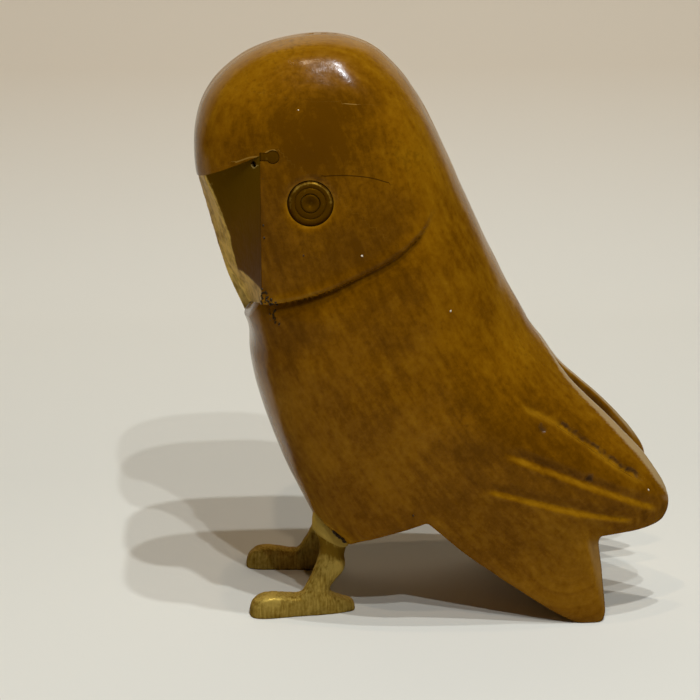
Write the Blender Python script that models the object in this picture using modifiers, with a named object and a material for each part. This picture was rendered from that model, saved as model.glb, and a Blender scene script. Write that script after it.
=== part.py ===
# Carved wooden owl figurine with a brass beak, brass eyes and cast brass legs.
# Metres, +Z up. The owl faces -Y and its left side is +X; both sides are alike.

from math import cos, pi, radians, sin, tan

import bmesh
import bpy
import numpy as np
from mathutils import Matrix, Vector

MM = 0.001
SEAT_GAP = 0.3 * MM
CUT_MARGIN = 6.0 * MM
SLOPE_STEP = 0.5 * MM

# Body stations in millimetres, crown to belly. Each row holds the height, the front, the back,
# where the section is widest, its width in hundredths of the body's, and the roundness of its
# front and of its back.
BODY_WIDTH = 63.6 * MM
BODY_STATIONS = (
    (155.6, -29.5, -29.5, -29.5, 0.0, 2.0, 2.0),
    (152.9, -45.9, -18.1, -30.0, 39.3, 2.2, 2.1),
    (145.5, -57.1, -9.5, -26.0, 62.9, 2.8, 2.1),
    (135.5, -62.9, -2.9, -20.0, 75.5, 3.4, 2.2),
    (123.0, -64.0, 3.2, -16.0, 81.1, 3.6, 2.2),
    (108.7, -60.8, 9.7, -13.0, 84.3, 3.6, 2.1),
    (92.2, -56.1, 17.8, -8.0, 88.1, 3.5, 1.9),
    (79.0, -50.7, 25.3, -4.0, 91.8, 3.2, 1.75),
    (71.0, -50.2, 31.7, -1.5, 94.7, 3.1, 1.75),
    (62.7, -48.6, 39.0, 1.0, 97.5, 3.0, 1.8),
    (52.0, -45.4, 51.4, 3.0, 99.7, 3.0, 2.1),
    (42.0, -41.6, 60.7, 3.0, 100.0, 2.9, 2.6),
    (33.5, -37.8, 66.0, 2.0, 98.1, 2.8, 3.0),
    (27.0, -34.6, 66.7, 1.0, 95.0, 2.8, 3.0),
    (23.4, -31.5, 62.8, 0.0, 91.8, 2.8, 3.0),
    (19.0, -27.0, 54.0, 0.0, 86.8, 2.8, 3.0),
)
RINGS_PER_STATION = 3
BODY_SEGMENTS = 48

# Tail block and the gap between the wing tips, with rows of the same kind.
TAIL_STATIONS = (
    (34.0, -10.0, 41.2, 30.0, 92.5, 6.0, 8.0),
    (23.0, -10.0, 42.7, 30.0, 91.8, 6.0, 8.0),
    (12.0, -10.0, 44.2, 30.0, 91.2, 6.0, 8.0),
    (3.0, -10.0, 45.3, 30.0, 90.6, 6.0, 8.0),
    (0.0, -10.0, 45.0, 30.0, 89.9, 6.0, 8.0),
)
WING_GAP_STATIONS = (
    (80.0, 24.6, 110.0, 80.0, 3.1, 2.4, 3.0),
    (66.0, 28.6, 110.0, 80.0, 25.2, 2.4, 3.0),
    (46.0, 37.0, 110.0, 80.0, 42.1, 2.8, 3.0),
    (30.0, 42.4, 110.0, 80.0, 50.3, 3.2, 3.0),
    (20.0, 45.0, 110.0, 80.0, 53.5, 3.2, 3.0),
)

# Side outline of the underside along Y and Z, in millimetres: the sloping seat over the legs, the
# crease behind them, then the arch back to the tail sole.
BELLY_LINE = (
    (-44.0, 30.3), (-24.6, 20.0), (-21.5, 22.8), (-16.0, 25.6), (-8.0, 28.6), (-4.2, 29.9),
    (5.4, 21.5), (19.3, 11.0), (26.8, 5.8), (33.0, 2.0), (37.0, 0.0),
)
# The wings end at a level underside; it slopes down to the belly in front of this place.
WING_FLOOR_Z = 23.4 * MM
WING_FLOOR_Y = 20.0 * MM

# Carved grooves: places along Y and Z on the flank, and the width and depth of the cut.
CHIN_GROOVE = ((-45.3, 88.0), (-37.0, 90.1), (-21.7, 96.3), (-8.9, 103.9), (-2.9, 111.9))
FEATHER_GROOVES = (
    ((21.4, 61.2), (31.2, 55.4), (46.8, 43.9), (54.8, 38.0)),
    ((16.8, 49.3), (26.8, 45.0), (39.3, 39.4), (57.5, 31.2)),
    ((12.2, 39.8), (23.0, 36.4), (33.9, 33.2), (53.0, 28.0)),
)
CHIN_GROOVE_RADIUS = 1.9 * MM
CHIN_GROOVE_DEPTH = 1.2 * MM
FEATHER_RADIUS = 1.3 * MM
FEATHER_DEPTH = 0.8 * MM
GROOVE_END_SHARE = 0.5
GROOVE_STEPS = 4
GROOVE_SIDES = 3

# Beak wedge: the upright seat in the head, the sloping ledge above it and the filed facets.
SEAT_Y = -47.0 * MM
LEDGE_REAR_Z = 126.2 * MM
LEDGE_SLOPE = radians(24.0)
SILL_REAR_Z = 89.0 * MM
SILL_SLOPE = radians(60.0)
FACET_TOP_HALF = 13.5 * MM
FACET_LOW_HALF = 4.5 * MM
FACET_SETBACK = 2.9 * MM
BEAK_LEVELS = 24
BEAK_FIT_STEPS = 12

# Round-ended keys at the top rear corners of the beak: how far the head's middle lies behind
# the seat and above the rear end of the ledge.
KEY_REACH = 3.2 * MM
KEY_RISE = 0.3 * MM
KEY_HEAD_RADIUS = 1.65 * MM
KEY_NECK_HALF = 1.0 * MM
KEY_DEPTH = 4.0 * MM
KEY_ARC_STEPS = 18

# Eyes: turned discs with a bevelled rim and a ring groove, and a dimpled cup in the middle.
EYE_Y = -34.4 * MM
EYE_Z = 115.1 * MM
EYE_RADIUS = 6.1 * MM
EYE_DEPTH = 3.2 * MM
EYE_SINK = 0.9 * MM
EYE_BEVEL = 0.9 * MM
EYE_GROOVE_RADIUS = 4.4 * MM
EYE_GROOVE_HALF = 0.45 * MM
EYE_GROOVE_DEPTH = 0.4 * MM
PUPIL_RADIUS = 2.3 * MM
PUPIL_DEPTH = 1.8 * MM
PUPIL_RIM = 0.6 * MM
PUPIL_DIMPLE = 0.9 * MM
EYE_STEPS = 40

# Legs: foot rows hold the place along the foot, half width and height; shank rows hold the
# height, the place along X and Y, the half width, the half length and how far the section tips
# back in degrees. The last two shank rows are the collar under the belly. In millimetres.
FOOT_X = 16.6 * MM
FOOT_MIDDLE_Y = -36.0 * MM
TOE_OUT = radians(6.0)
FOOT_ROUND = 3.0
FOOT_STATIONS = (
    (-15.2, 1.6, 2.4),
    (-14.0, 2.9, 4.3),
    (-11.4, 3.7, 5.7),
    (-7.5, 3.7, 5.8),
    (-2.0, 3.4, 5.2),
    (3.0, 3.4, 5.8),
    (7.5, 3.1, 4.9),
    (10.4, 2.6, 3.8),
    (12.6, 1.9, 2.9),
    (13.6, 1.0, 1.7),
)
SHANK_STATIONS = (
    (2.5, 16.4, -33.0, 2.7, 3.6, 0.0),
    (6.8, 16.2, -32.8, 2.9, 3.3, 0.0),
    (12.4, 15.2, -29.3, 3.3, 4.0, 5.0),
    (16.6, 14.4, -28.7, 3.0, 3.3, 14.0),
    (20.0, 13.6, -29.0, 4.2, 4.4, 28.0),
    (22.4, 13.2, -28.8, 4.5, 4.7, 28.0),
)
LEG_SEGMENTS = 20
LEG_RINGS = 2
TENON_RADIUS = 2.2 * MM
TENON_LENGTH = 15.0 * MM
TENON_SETBACK = 2.6 * MM
TENON_STEPS = 24

COLLECTION_NAME = "wooden_owl_figurine"
SHARP_ANGLE = radians(35.0)


def start_clean():
    for existing in list(bpy.data.objects):
        bpy.data.objects.remove(existing, do_unlink=True)


def new_collection(name):
    collection = bpy.data.collections.new(name)
    bpy.context.scene.collection.children.link(collection)
    return collection


def new_material(name, color, metallic, roughness):
    material = bpy.data.materials.new(name)
    material.use_nodes = True
    shader = material.node_tree.nodes["Principled BSDF"]
    shader.inputs["Base Color"].default_value = (*color, 1.0)
    shader.inputs["Metallic"].default_value = metallic
    shader.inputs["Roughness"].default_value = roughness
    return material


def row_at(stations, place, crown=False):
    # Smooth curve through the rows; with a crown the first row is a rounded top.
    rows = np.array(stations, dtype=float)
    first = 2.0 * rows[0] - rows[1]
    if crown:
        first[0] = rows[1][0]
    last = 2.0 * rows[-1] - rows[-2]
    padded = np.vstack((first, rows, last))
    index = min(int(place), len(rows) - 2)
    t = place - index
    a, b, c, d = padded[index:index + 4]
    return 0.5 * (2 * b + (c - a) * t + (2 * a - 5 * b + 4 * c - d) * t ** 2
                  + (3 * b - a - 3 * c + d) * t ** 3)


def half_width(share):
    return share / 100 * BODY_WIDTH / 2


def level_ring(row, segments):
    # One level section, from the front round by the left side to the back and round again.
    height, front, back, middle, share, front_round, back_round = row
    points = []
    for step in range(segments):
        angle = 2 * pi * step / segments
        along = cos(angle)
        across = sin(angle)
        power = 2 / (front_round if along > 0 else back_round)
        reach = middle - front if along > 0 else middle - back
        y = middle - reach * abs(along) ** power
        x = half_width(share) * abs(across) ** power * (1 if across >= 0 else -1)
        points.append(Vector((x, y * MM, height * MM)))
    return points


def loft(name, rings, collection):
    # Closed skin over rings of equal count; a ring shrunk to a point becomes a single vertex.
    mesh = bmesh.new()
    loops = []
    for ring in rings:
        if (ring[0] - ring[len(ring) // 2]).length < SEAT_GAP:
            loops.append([mesh.verts.new(ring[0])] * len(ring))
        else:
            loops.append([mesh.verts.new(point) for point in ring])
    for upper, lower in zip(loops, loops[1:]):
        for side in range(len(upper)):
            after = (side + 1) % len(upper)
            corners = [upper[side], lower[side], lower[after], upper[after]]
            mesh.faces.new(list(dict.fromkeys(corners)))
    for loop in (loops[0], loops[-1]):
        if loop[0] is not loop[1]:
            mesh.faces.new(loop)
    bmesh.ops.recalc_face_normals(mesh, faces=mesh.faces[:])
    return object_from(mesh, name, collection)


def object_from(mesh, name, collection):
    data = bpy.data.meshes.new(name)
    mesh.to_mesh(data)
    mesh.free()
    result = bpy.data.objects.new(name, data)
    collection.objects.link(result)
    return result


def settle(source):
    # Swap an object for the plain mesh it evaluates to, with its placement in the mesh.
    bpy.context.view_layer.update()
    graph = bpy.context.evaluated_depsgraph_get()
    data = bpy.data.meshes.new_from_object(source.evaluated_get(graph), depsgraph=graph)
    data.transform(source.matrix_world)
    name = source.name
    collection = source.users_collection[0]
    bpy.data.objects.remove(source, do_unlink=True)
    mesh = bmesh.new()
    mesh.from_mesh(data)
    bpy.data.meshes.remove(data)
    bmesh.ops.remove_doubles(mesh, verts=mesh.verts[:], dist=0.01 * MM)
    bmesh.ops.recalc_face_normals(mesh, faces=mesh.faces[:])
    return object_from(mesh, name, collection)


def turned(name, profile, steps, placement, collection):
    # Round piece from a half profile of radius and height, given from the top down.
    mesh = bmesh.new()
    corners = [mesh.verts.new((radius, 0.0, height)) for radius, height in profile]
    for upper, lower in zip(corners, corners[1:]):
        mesh.edges.new((upper, lower))
    result = object_from(mesh, name, collection)
    result.matrix_world = placement
    screw = result.modifiers.new("turn", "SCREW")
    screw.axis = "Z"
    screw.steps = steps
    screw.render_steps = steps
    screw.use_merge_vertices = True
    screw.merge_threshold = 0.00001
    return settle(result)


def plate(name, outline, half_thickness, placement, collection):
    # Flat piece from an outline, extruded to both sides.
    curve = bpy.data.curves.new(name, "CURVE")
    curve.dimensions = "2D"
    curve.fill_mode = "BOTH"
    curve.extrude = half_thickness
    spline = curve.splines.new("POLY")
    spline.points.add(len(outline) - 1)
    for point, (u, v) in zip(spline.points, outline):
        point.co = (u, v, 0.0, 1.0)
    spline.use_cyclic_u = True
    result = bpy.data.objects.new(name, curve)
    collection.objects.link(result)
    result.matrix_world = placement
    return settle(result)


def groove_cutter(name, places, radius, depth, collection):
    # Round bar that runs along the flank and thins out at both ends.
    curve = bpy.data.curves.new(name, "CURVE")
    curve.dimensions = "3D"
    curve.bevel_depth = radius
    curve.bevel_resolution = GROOVE_SIDES
    curve.use_fill_caps = True
    spline = curve.splines.new("POLY")
    count = (len(places) - 1) * GROOVE_STEPS
    spline.points.add(count)
    for step, point in enumerate(spline.points):
        y, z = row_at(places, step / GROOVE_STEPS) * MM
        spot, outward = flank_spot(y, z)
        point.co = (*(spot + outward * (radius - depth)), 1.0)
        point.radius = min(1.0, GROOVE_END_SHARE + min(step, count - step) / GROOVE_STEPS)
    result = bpy.data.objects.new(name, curve)
    collection.objects.link(result)
    return settle(result)


def mirrored(source, name):
    # The same piece on the other side of the owl.
    mesh = bmesh.new()
    mesh.from_mesh(source.data)
    bmesh.ops.scale(mesh, vec=(-1.0, 1.0, 1.0), verts=mesh.verts[:])
    bmesh.ops.reverse_faces(mesh, faces=mesh.faces[:])
    return object_from(mesh, name, source.users_collection[0])


def boolean(target, tool, operation):
    modifier = target.modifiers.new(operation.lower(), "BOOLEAN")
    modifier.operation = operation
    modifier.solver = "EXACT"
    modifier.object = tool
    result = settle(target)
    if operation == "UNION":
        bpy.data.objects.remove(tool, do_unlink=True)
    else:
        tool.hide_render = True
        tool.display_type = "WIRE"
    return result


def body_row(z):
    return row_at(BODY_STATIONS, float(np.interp(-z / MM, BODY_HEIGHTS, BODY_PLACES)), True)


def front_y(z):
    return body_row(z)[1] * MM


def flank_x(y, z):
    height, front, back, middle, share, front_round, back_round = body_row(z)
    offset = y / MM - middle
    reach = back - middle if offset > 0 else front - middle
    power = back_round if offset > 0 else front_round
    run = min(abs(offset / reach), 1.0)
    return half_width(share) * (1 - run ** power) ** (1 / power)


def flank_spot(y, z):
    # Point on the left flank and the outward direction there.
    rise_y = flank_x(y + SLOPE_STEP, z) - flank_x(y - SLOPE_STEP, z)
    rise_z = flank_x(y, z + SLOPE_STEP) - flank_x(y, z - SLOPE_STEP)
    slope_y = rise_y / (2 * SLOPE_STEP)
    slope_z = rise_z / (2 * SLOPE_STEP)
    return Vector((flank_x(y, z), y, z)), Vector((1.0, -slope_y, -slope_z)).normalized()


def facing(spot, outward):
    # Placement with local Z along the outward direction and local X level, toward the back.
    level = Vector((0.0, 0.0, 1.0)).cross(outward).normalized()
    up = outward.cross(level)
    turn = Matrix((level, up, outward)).transposed().to_4x4()
    return Matrix.Translation(spot) @ turn


def smooth_loft(name, stations, rings_per_station, segments, collection, crown=False):
    count = (len(stations) - 1) * rings_per_station
    rows = [row_at(stations, step / rings_per_station, crown) for step in range(count + 1)]
    return loft(name, [level_ring(row, segments) for row in rows], collection)


def arch_outline():
    line = [(y * MM, z * MM) for y, z in BELLY_LINE]
    below = -CUT_MARGIN
    return line + [(line[-1][0], below), (line[0][0], below)]


def wing_floor_outline():
    rear = max(row[2] for row in BODY_STATIONS) * MM + CUT_MARGIN
    low = BODY_STATIONS[-1][0] * MM - CUT_MARGIN
    front = WING_FLOOR_Y - WING_FLOOR_Z + low
    return [(front, low), (WING_FLOOR_Y, WING_FLOOR_Z), (rear, WING_FLOOR_Z), (rear, low)]


def ledge_z(y):
    return LEDGE_REAR_Z + (y - SEAT_Y) * tan(LEDGE_SLOPE)


def sill_z(y):
    return SILL_REAR_Z + (y - SEAT_Y) * tan(SILL_SLOPE)


def seat_outline():
    front = front_y(LEDGE_REAR_Z) - CUT_MARGIN
    return [(SEAT_Y, SILL_REAR_Z), (SEAT_Y, LEDGE_REAR_Z), (front, ledge_z(front)),
            (front, sill_z(front))]


def key_outline(gap):
    # Round head at the origin with a neck that runs forward to the beak seat.
    radius = KEY_HEAD_RADIUS + gap
    neck = KEY_NECK_HALF + gap
    start = np.arcsin(neck / radius)
    angles = np.linspace(pi - start, start - pi, KEY_ARC_STEPS)
    arc = [(radius * cos(angle), radius * sin(angle)) for angle in angles]
    return arc + [(-KEY_REACH, -neck), (-KEY_REACH, neck)]


def beak_ring(level):
    # Five-cornered section: ridge, two facet edges and two corners at the seat.
    rear = SEAT_Y - SEAT_GAP
    edge_x = FACET_LOW_HALF + (FACET_TOP_HALF - FACET_LOW_HALF) * level
    left = []
    for setback in (0.0, FACET_SETBACK, None):
        z = LEDGE_REAR_Z
        for half_step in range(BEAK_FIT_STEPS):
            y = rear if setback is None else min(front_y(z) + setback, rear - SEAT_GAP)
            low = sill_z(y) + SEAT_GAP / cos(SILL_SLOPE)
            top = ledge_z(y) - SEAT_GAP / cos(LEDGE_SLOPE)
            z += (low + (top - low) * level - z) / 2
        x = flank_x(y, z) if setback is None else min(setback * edge_x / FACET_SETBACK, edge_x)
        left.append(Vector((x, y, z)))
    ridge, edge, corner = left
    flip = Vector((-1.0, 1.0, 1.0))
    return [ridge, edge, corner, corner * flip, edge * flip]


def foot_ring(row):
    # Flat-soled section across the foot, with a round top.
    along, half, height = (value * MM for value in row)
    points = []
    for step in range(LEG_SEGMENTS // 2 + 1):
        angle = pi * step / (LEG_SEGMENTS // 2)
        across = abs(cos(angle)) ** (2 / FOOT_ROUND) * (1 if cos(angle) >= 0 else -1)
        points.append(Vector((half * across, along, height * sin(angle) ** (2 / FOOT_ROUND))))
    return points


def shank_ring(row, gap):
    middle = Vector((row[1], row[2], row[0])) * MM
    half_width, half_length = (value * MM + gap for value in row[3:5])
    points = []
    for step in range(LEG_SEGMENTS):
        angle = 2 * pi * step / LEG_SEGMENTS
        along = half_length * sin(angle)
        drop = along * tan(radians(row[5]))
        points.append(middle + Vector((half_width * cos(angle), along, -drop)))
    return points


def make_shank(name, gap, collection):
    # With a gap the shank is the pocket that takes its upper end.
    rings = [shank_ring(row, gap) for row in leg_rows(SHANK_STATIONS)]
    if gap:
        rings.append([point + Vector((0.0, 0.0, gap)) for point in rings[-1]])
    return loft(name, rings, collection)


def leg_rows(stations):
    count = (len(stations) - 1) * LEG_RINGS
    return [row_at(stations, step / LEG_RINGS) for step in range(count + 1)]


def tenon_placement():
    # The tenon stands square on the collar, behind its middle.
    height, across, place = (value * MM for value in SHANK_STATIONS[-1][:3])
    lean = Matrix.Rotation(-radians(SHANK_STATIONS[-1][5]), 4, "X")
    return (Matrix.Translation((across, place, height)) @ lean
            @ Matrix.Translation((0.0, TENON_SETBACK, 0.0)))


def rod_profile(radius, bottom, top):
    return [(0.0, top), (radius, top), (radius, bottom), (0.0, bottom)]


def make_leg(collection):
    foot = loft("leg_left", [foot_ring(row) for row in leg_rows(FOOT_STATIONS)], collection)
    foot.matrix_world = (Matrix.Translation((FOOT_X, FOOT_MIDDLE_Y, 0.0))
                         @ Matrix.Rotation(TOE_OUT, 4, "Z"))
    foot = settle(foot)
    leg = boolean(foot, make_shank("shank", 0.0, collection), "UNION")
    tenon = turned("tenon", rod_profile(TENON_RADIUS, -TENON_RADIUS, TENON_LENGTH), TENON_STEPS,
                   tenon_placement(), collection)
    return boolean(leg, tenon, "UNION")


def make_leg_cutters(collection):
    hole = turned("tenon_hole", rod_profile(TENON_RADIUS + SEAT_GAP, -CUT_MARGIN,
                                            TENON_LENGTH + SEAT_GAP),
                  TENON_STEPS, tenon_placement(), collection)
    return boolean(make_shank("leg_pocket", SEAT_GAP, collection), hole, "UNION")


def make_eye(collection):
    spot, outward = flank_spot(EYE_Y, EYE_Z)
    top = facing(spot - outward * EYE_SINK, outward)
    hole = PUPIL_RADIUS + SEAT_GAP / 2
    floor = -PUPIL_DEPTH - SEAT_GAP / 2
    groove_in = EYE_GROOVE_RADIUS - EYE_GROOVE_HALF
    groove_out = EYE_GROOVE_RADIUS + EYE_GROOVE_HALF
    cap = turned("eye_cap_left", [
        (0.0, floor), (hole, floor), (hole, 0.0), (groove_in, 0.0),
        (EYE_GROOVE_RADIUS, -EYE_GROOVE_DEPTH), (groove_out, 0.0), (EYE_RADIUS - EYE_BEVEL, 0.0),
        (EYE_RADIUS, -EYE_BEVEL), (EYE_RADIUS, -EYE_DEPTH), (0.0, -EYE_DEPTH),
    ], EYE_STEPS, top, collection)
    dish = PUPIL_RADIUS - PUPIL_RIM
    pupil = turned("pupil_left", [
        (0.0, -PUPIL_DIMPLE), (dish / 2, -PUPIL_DIMPLE * 0.8), (dish, 0.0), (PUPIL_RADIUS, 0.0),
        (PUPIL_RADIUS, -PUPIL_DEPTH), (0.0, -PUPIL_DEPTH),
    ], EYE_STEPS, top, collection)
    return cap, pupil


def make_eye_cutter(collection):
    spot, outward = flank_spot(EYE_Y, EYE_Z)
    profile = rod_profile(EYE_RADIUS + SEAT_GAP, -EYE_SINK - EYE_DEPTH - SEAT_GAP, CUT_MARGIN)
    return turned("eye_pocket", profile, EYE_STEPS, facing(spot, outward), collection)


def make_key(name, gap, rise, collection):
    spot, outward = flank_spot(SEAT_Y + KEY_REACH, LEDGE_REAR_Z + KEY_RISE)
    half = (KEY_DEPTH + gap + rise) / 2
    return plate(name, key_outline(gap), half, facing(spot + outward * (rise - half), outward),
                 collection)


def make_body(parts, cutters):
    body = smooth_loft("body", BODY_STATIONS, RINGS_PER_STATION, BODY_SEGMENTS, parts, True)
    widest = BODY_WIDTH / 2 + CUT_MARGIN
    across = Matrix(((0, 0, 1), (1, 0, 0), (0, 1, 0))).to_4x4()
    floor = plate("wing_floor", wing_floor_outline(), widest, across, cutters)
    body = boolean(body, floor, "DIFFERENCE")
    tail = smooth_loft("tail", TAIL_STATIONS, 1, BODY_SEGMENTS, parts)
    body = boolean(body, tail, "UNION")
    single = [
        plate("belly_arch", arch_outline(), widest, across, cutters),
        smooth_loft("wing_gap", WING_GAP_STATIONS, 2, BODY_SEGMENTS, cutters),
        plate("beak_seat", seat_outline(), widest, across, cutters),
    ]
    paired = [
        make_leg_cutters(cutters),
        make_eye_cutter(cutters),
        make_key("key_pocket", SEAT_GAP, CUT_MARGIN, cutters),
        groove_cutter("chin_groove", CHIN_GROOVE, CHIN_GROOVE_RADIUS, CHIN_GROOVE_DEPTH, cutters),
    ]
    for number, places in enumerate(FEATHER_GROOVES, 1):
        paired.append(groove_cutter(f"feather_groove_{number}", places, FEATHER_RADIUS,
                                    FEATHER_DEPTH, cutters))
    for tool in single:
        body = boolean(body, tool, "DIFFERENCE")
    for tool in paired:
        other = mirrored(tool, tool.name + "_right")
        body = boolean(body, tool, "DIFFERENCE")
        body = boolean(body, other, "DIFFERENCE")
    return body


def finish(piece, material, smooth):
    piece.data.materials.clear()
    piece.data.materials.append(material)
    if smooth:
        piece.data.shade_smooth()
        piece.data.set_sharp_from_angle(angle=SHARP_ANGLE)


BODY_PLACES = np.linspace(0.0, len(BODY_STATIONS) - 1.0, 20 * len(BODY_STATIONS))
BODY_HEIGHTS = [-row_at(BODY_STATIONS, place, True)[0] for place in BODY_PLACES]

start_clean()
parts = new_collection(COLLECTION_NAME)
cutters = new_collection("cutters")
wood = new_material("varnished_wood", (0.12, 0.055, 0.004), 0.0, 0.35)
polished_brass = new_material("polished_brass", (0.25, 0.17, 0.04), 1.0, 0.35)
cast_brass = new_material("cast_brass", (0.22, 0.15, 0.04), 1.0, 0.5)

finish(make_body(parts, cutters), wood, True)
beak = loft("beak", [beak_ring(step / BEAK_LEVELS) for step in range(BEAK_LEVELS, -1, -1)], parts)
finish(beak, polished_brass, False)
key_left = make_key("beak_key_left", 0.0, 0.0, parts)
cap_left, pupil_left = make_eye(parts)
leg_left = make_leg(parts)
for left, material in ((key_left, polished_brass), (cap_left, polished_brass),
                       (pupil_left, polished_brass), (leg_left, cast_brass)):
    finish(mirrored(left, left.name.replace("left", "right")), material, True)
    finish(left, material, True)
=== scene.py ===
from math import cos, pi, radians, sin, tan

import bmesh
import bpy
import numpy as np
import openvdb
from mathutils import Matrix, Vector, noise


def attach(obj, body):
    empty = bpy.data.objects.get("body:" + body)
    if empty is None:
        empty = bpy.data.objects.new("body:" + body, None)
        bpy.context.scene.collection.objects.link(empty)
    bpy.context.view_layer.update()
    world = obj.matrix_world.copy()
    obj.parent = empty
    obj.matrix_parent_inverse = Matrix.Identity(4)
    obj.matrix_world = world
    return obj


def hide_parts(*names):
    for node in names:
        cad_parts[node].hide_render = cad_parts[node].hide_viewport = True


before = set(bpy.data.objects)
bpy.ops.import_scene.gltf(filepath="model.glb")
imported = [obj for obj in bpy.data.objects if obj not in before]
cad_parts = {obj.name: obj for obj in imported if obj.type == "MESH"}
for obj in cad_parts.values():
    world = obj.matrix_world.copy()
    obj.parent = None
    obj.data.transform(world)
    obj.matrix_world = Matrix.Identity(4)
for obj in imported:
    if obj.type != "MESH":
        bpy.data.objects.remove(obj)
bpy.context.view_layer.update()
mm = 0.001
diagonal = 0.7071  # one step along each of two axes, as a distance to the slope between them
print("frame loaded:", len(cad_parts), "nodes")


# small helpers: colour, nodes and meshes

def linear(hexColour, alpha=1.0):
    # sRGB hex to the linear colour that the shader wants
    channels = [int(hexColour[i:i + 2], 16) / 255 for i in (1, 3, 5)]
    curve = [c / 12.92 if c <= 0.04045 else ((c + 0.055) / 1.055) ** 2.4 for c in channels]
    return (*curve, alpha)


def perSize(sizeMm):
    # texture scale on Object coordinates for a pattern of this size
    return 1000.0 / sizeMm


def addNode(tree, kind, inputs=None, **settings):
    node = tree.nodes.new(kind)
    for name, value in settings.items():
        setattr(node, name, value)
    for name, value in (inputs or {}).items():
        socket = node.inputs[name]
        if isinstance(value, bpy.types.NodeSocket):
            tree.links.new(value, socket)
        else:
            socket.default_value = value
    return node


def newMaterial(name, **fixed):
    # a material with its shader; what is the same all over sits on the shader's own sockets
    material = bpy.data.materials.new(name)
    material.use_nodes = True
    tree = material.node_tree
    shader = tree.nodes["Principled BSDF"]
    for socket, value in fixed.items():
        shader.inputs[socket.replace("_", " ")].default_value = value
    return material, tree, shader


def meshPiece(name, points, faces, material, smoothAngle=None):
    # points in mm; faces are turned outwards by the sign of the volume
    mesh = bpy.data.meshes.new(name)
    mesh.from_pydata([tuple(p) for p in np.asarray(points) * mm], [], [tuple(f) for f in faces])
    mesh.validate()
    piece = bpy.data.objects.new(name, mesh)
    bpy.context.scene.collection.objects.link(piece)
    turnOutwards(piece)
    if material:
        mesh.materials.append(material)
    mesh.shade_smooth()
    if smoothAngle:
        mesh.set_sharp_from_angle(angle=radians(smoothAngle))
    return piece


def turnOutwards(piece):
    edit = bmesh.new()
    edit.from_mesh(piece.data)
    bmesh.ops.remove_doubles(edit, verts=edit.verts[:], dist=0.002 * mm)
    bmesh.ops.recalc_face_normals(edit, faces=edit.faces[:])
    if edit.calc_volume(signed=True) < 0:
        bmesh.ops.reverse_faces(edit, faces=edit.faces[:])
    edit.to_mesh(piece.data)
    edit.free()


def combine(piece, tool, operation):
    # Boolean with a closed tool, written into the mesh
    change = piece.modifiers.new("change", "BOOLEAN")
    change.operation = operation
    change.solver = "MANIFOLD"
    change.object = tool
    flatten(piece)
    bpy.data.objects.remove(tool, do_unlink=True)


def flatten(piece):
    # modifiers become plain mesh
    bpy.context.view_layer.update()
    graph = bpy.context.evaluated_depsgraph_get()
    mesh = bpy.data.meshes.new_from_object(piece.evaluated_get(graph), depsgraph=graph)
    piece.modifiers.clear()
    old = piece.data
    piece.data = mesh
    bpy.data.meshes.remove(old)


def setAttribute(piece, name, values, kind="FLOAT"):
    layer = piece.data.attributes.new(name, kind, "POINT")
    field = "vector" if kind == "FLOAT_VECTOR" else "value"
    layer.data.foreach_set(field, np.asarray(values, np.float32).ravel())


def pointsOf(piece):
    flat = np.zeros(len(piece.data.vertices) * 3, np.float32)
    piece.data.vertices.foreach_get("co", flat)
    return flat.reshape(-1, 3).astype(float) / mm


def wobble(points, sizeMm, octaves=2, offset=0.0):
    # smooth noise at each point, about -1 to 1
    shift = Vector((offset, offset * 0.7, -offset))
    return np.array([noise.fractal(Vector(p) / sizeMm + shift, 1.0, 2.0, octaves) for p in points])


def smoothMin(a, b, blend):
    h = np.maximum(blend - np.abs(a - b), 0.0) / blend
    return np.minimum(a, b) - h * h * blend / 4


def smoothMax(a, b, blend):
    return -smoothMin(-a, -b, blend)


def chamferMax(a, b, width):
    # the edge where two surfaces meet is taken off flat
    return smoothMax(np.maximum(a, b), (a + b + width) * diagonal, 0.4)


def easeBetween(value, start, end):
    t = np.clip((value - start) / (end - start), 0, 1)
    return t * t * (3 - 2 * t)


def ridge(signed, amount, place, width):
    # soft ridge along a line, from the signed distance to it
    return amount * np.exp(-((signed - place) / width) ** 2)


def rowAt(rows, place, crown=False):
    # smooth curve through the listed rows; with a crown the first row is a rounded top
    rows = np.array(rows, float)
    first = 2 * rows[0] - rows[1]
    if crown:
        first[0] = rows[1][0]
    padded = np.vstack((first, rows, 2 * rows[-1] - rows[-2]))
    index = min(int(place), len(rows) - 2)
    t = place - index
    a, b, c, d = padded[index:index + 4]
    return 0.5 * (2 * b + (c - a) * t + (2 * a - 5 * b + 4 * c - d) * t ** 2
                  + (3 * b - a - 3 * c + d) * t ** 3)


def denseRows(rows, steps, crown=False):
    count = (len(rows) - 1) * steps
    return np.array([rowAt(rows, step / steps, crown) for step in range(count + 1)])


def fieldMesh(field, low, high, voxel):
    # skin over a form that is given as a field, negative inside, in mm
    axes = [np.arange(a, b + voxel, voxel) for a, b in zip(low, high)]
    grid = np.stack(np.meshgrid(*axes, indexing="ij"), -1)
    values = field(grid.reshape(-1, 3)).reshape(grid.shape[:3]).astype(np.float32)
    volume = openvdb.FloatGrid(3.0)
    volume.copyFromArray(np.clip(values, -3, 3))
    points, quads = volume.convertToQuads(isovalue=0.0)
    return points * voxel + np.array(low), quads


def slopeOf(points, field, step):
    slope = np.zeros_like(points)
    for axis in range(3):
        shift = np.zeros(3)
        shift[axis] = step
        slope[:, axis] = (field(points + shift) - field(points - shift)) / (2 * step)
    return slope


def normalsOf(points, field):
    slope = slopeOf(points, field, 0.05)
    return slope / (np.linalg.norm(slope, axis=1)[:, None] + 1e-9)


def settleOn(points, field, turns=3):
    # walk each point along the slope until it lies on the form
    for turn in range(turns):
        slope = slopeOf(points, field, 0.02)
        reach = np.linalg.norm(slope, axis=1)[:, None] + 1e-6
        points = points - slope / reach * np.clip(field(points)[:, None] / reach, -0.8, 0.8)
    return points


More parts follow.
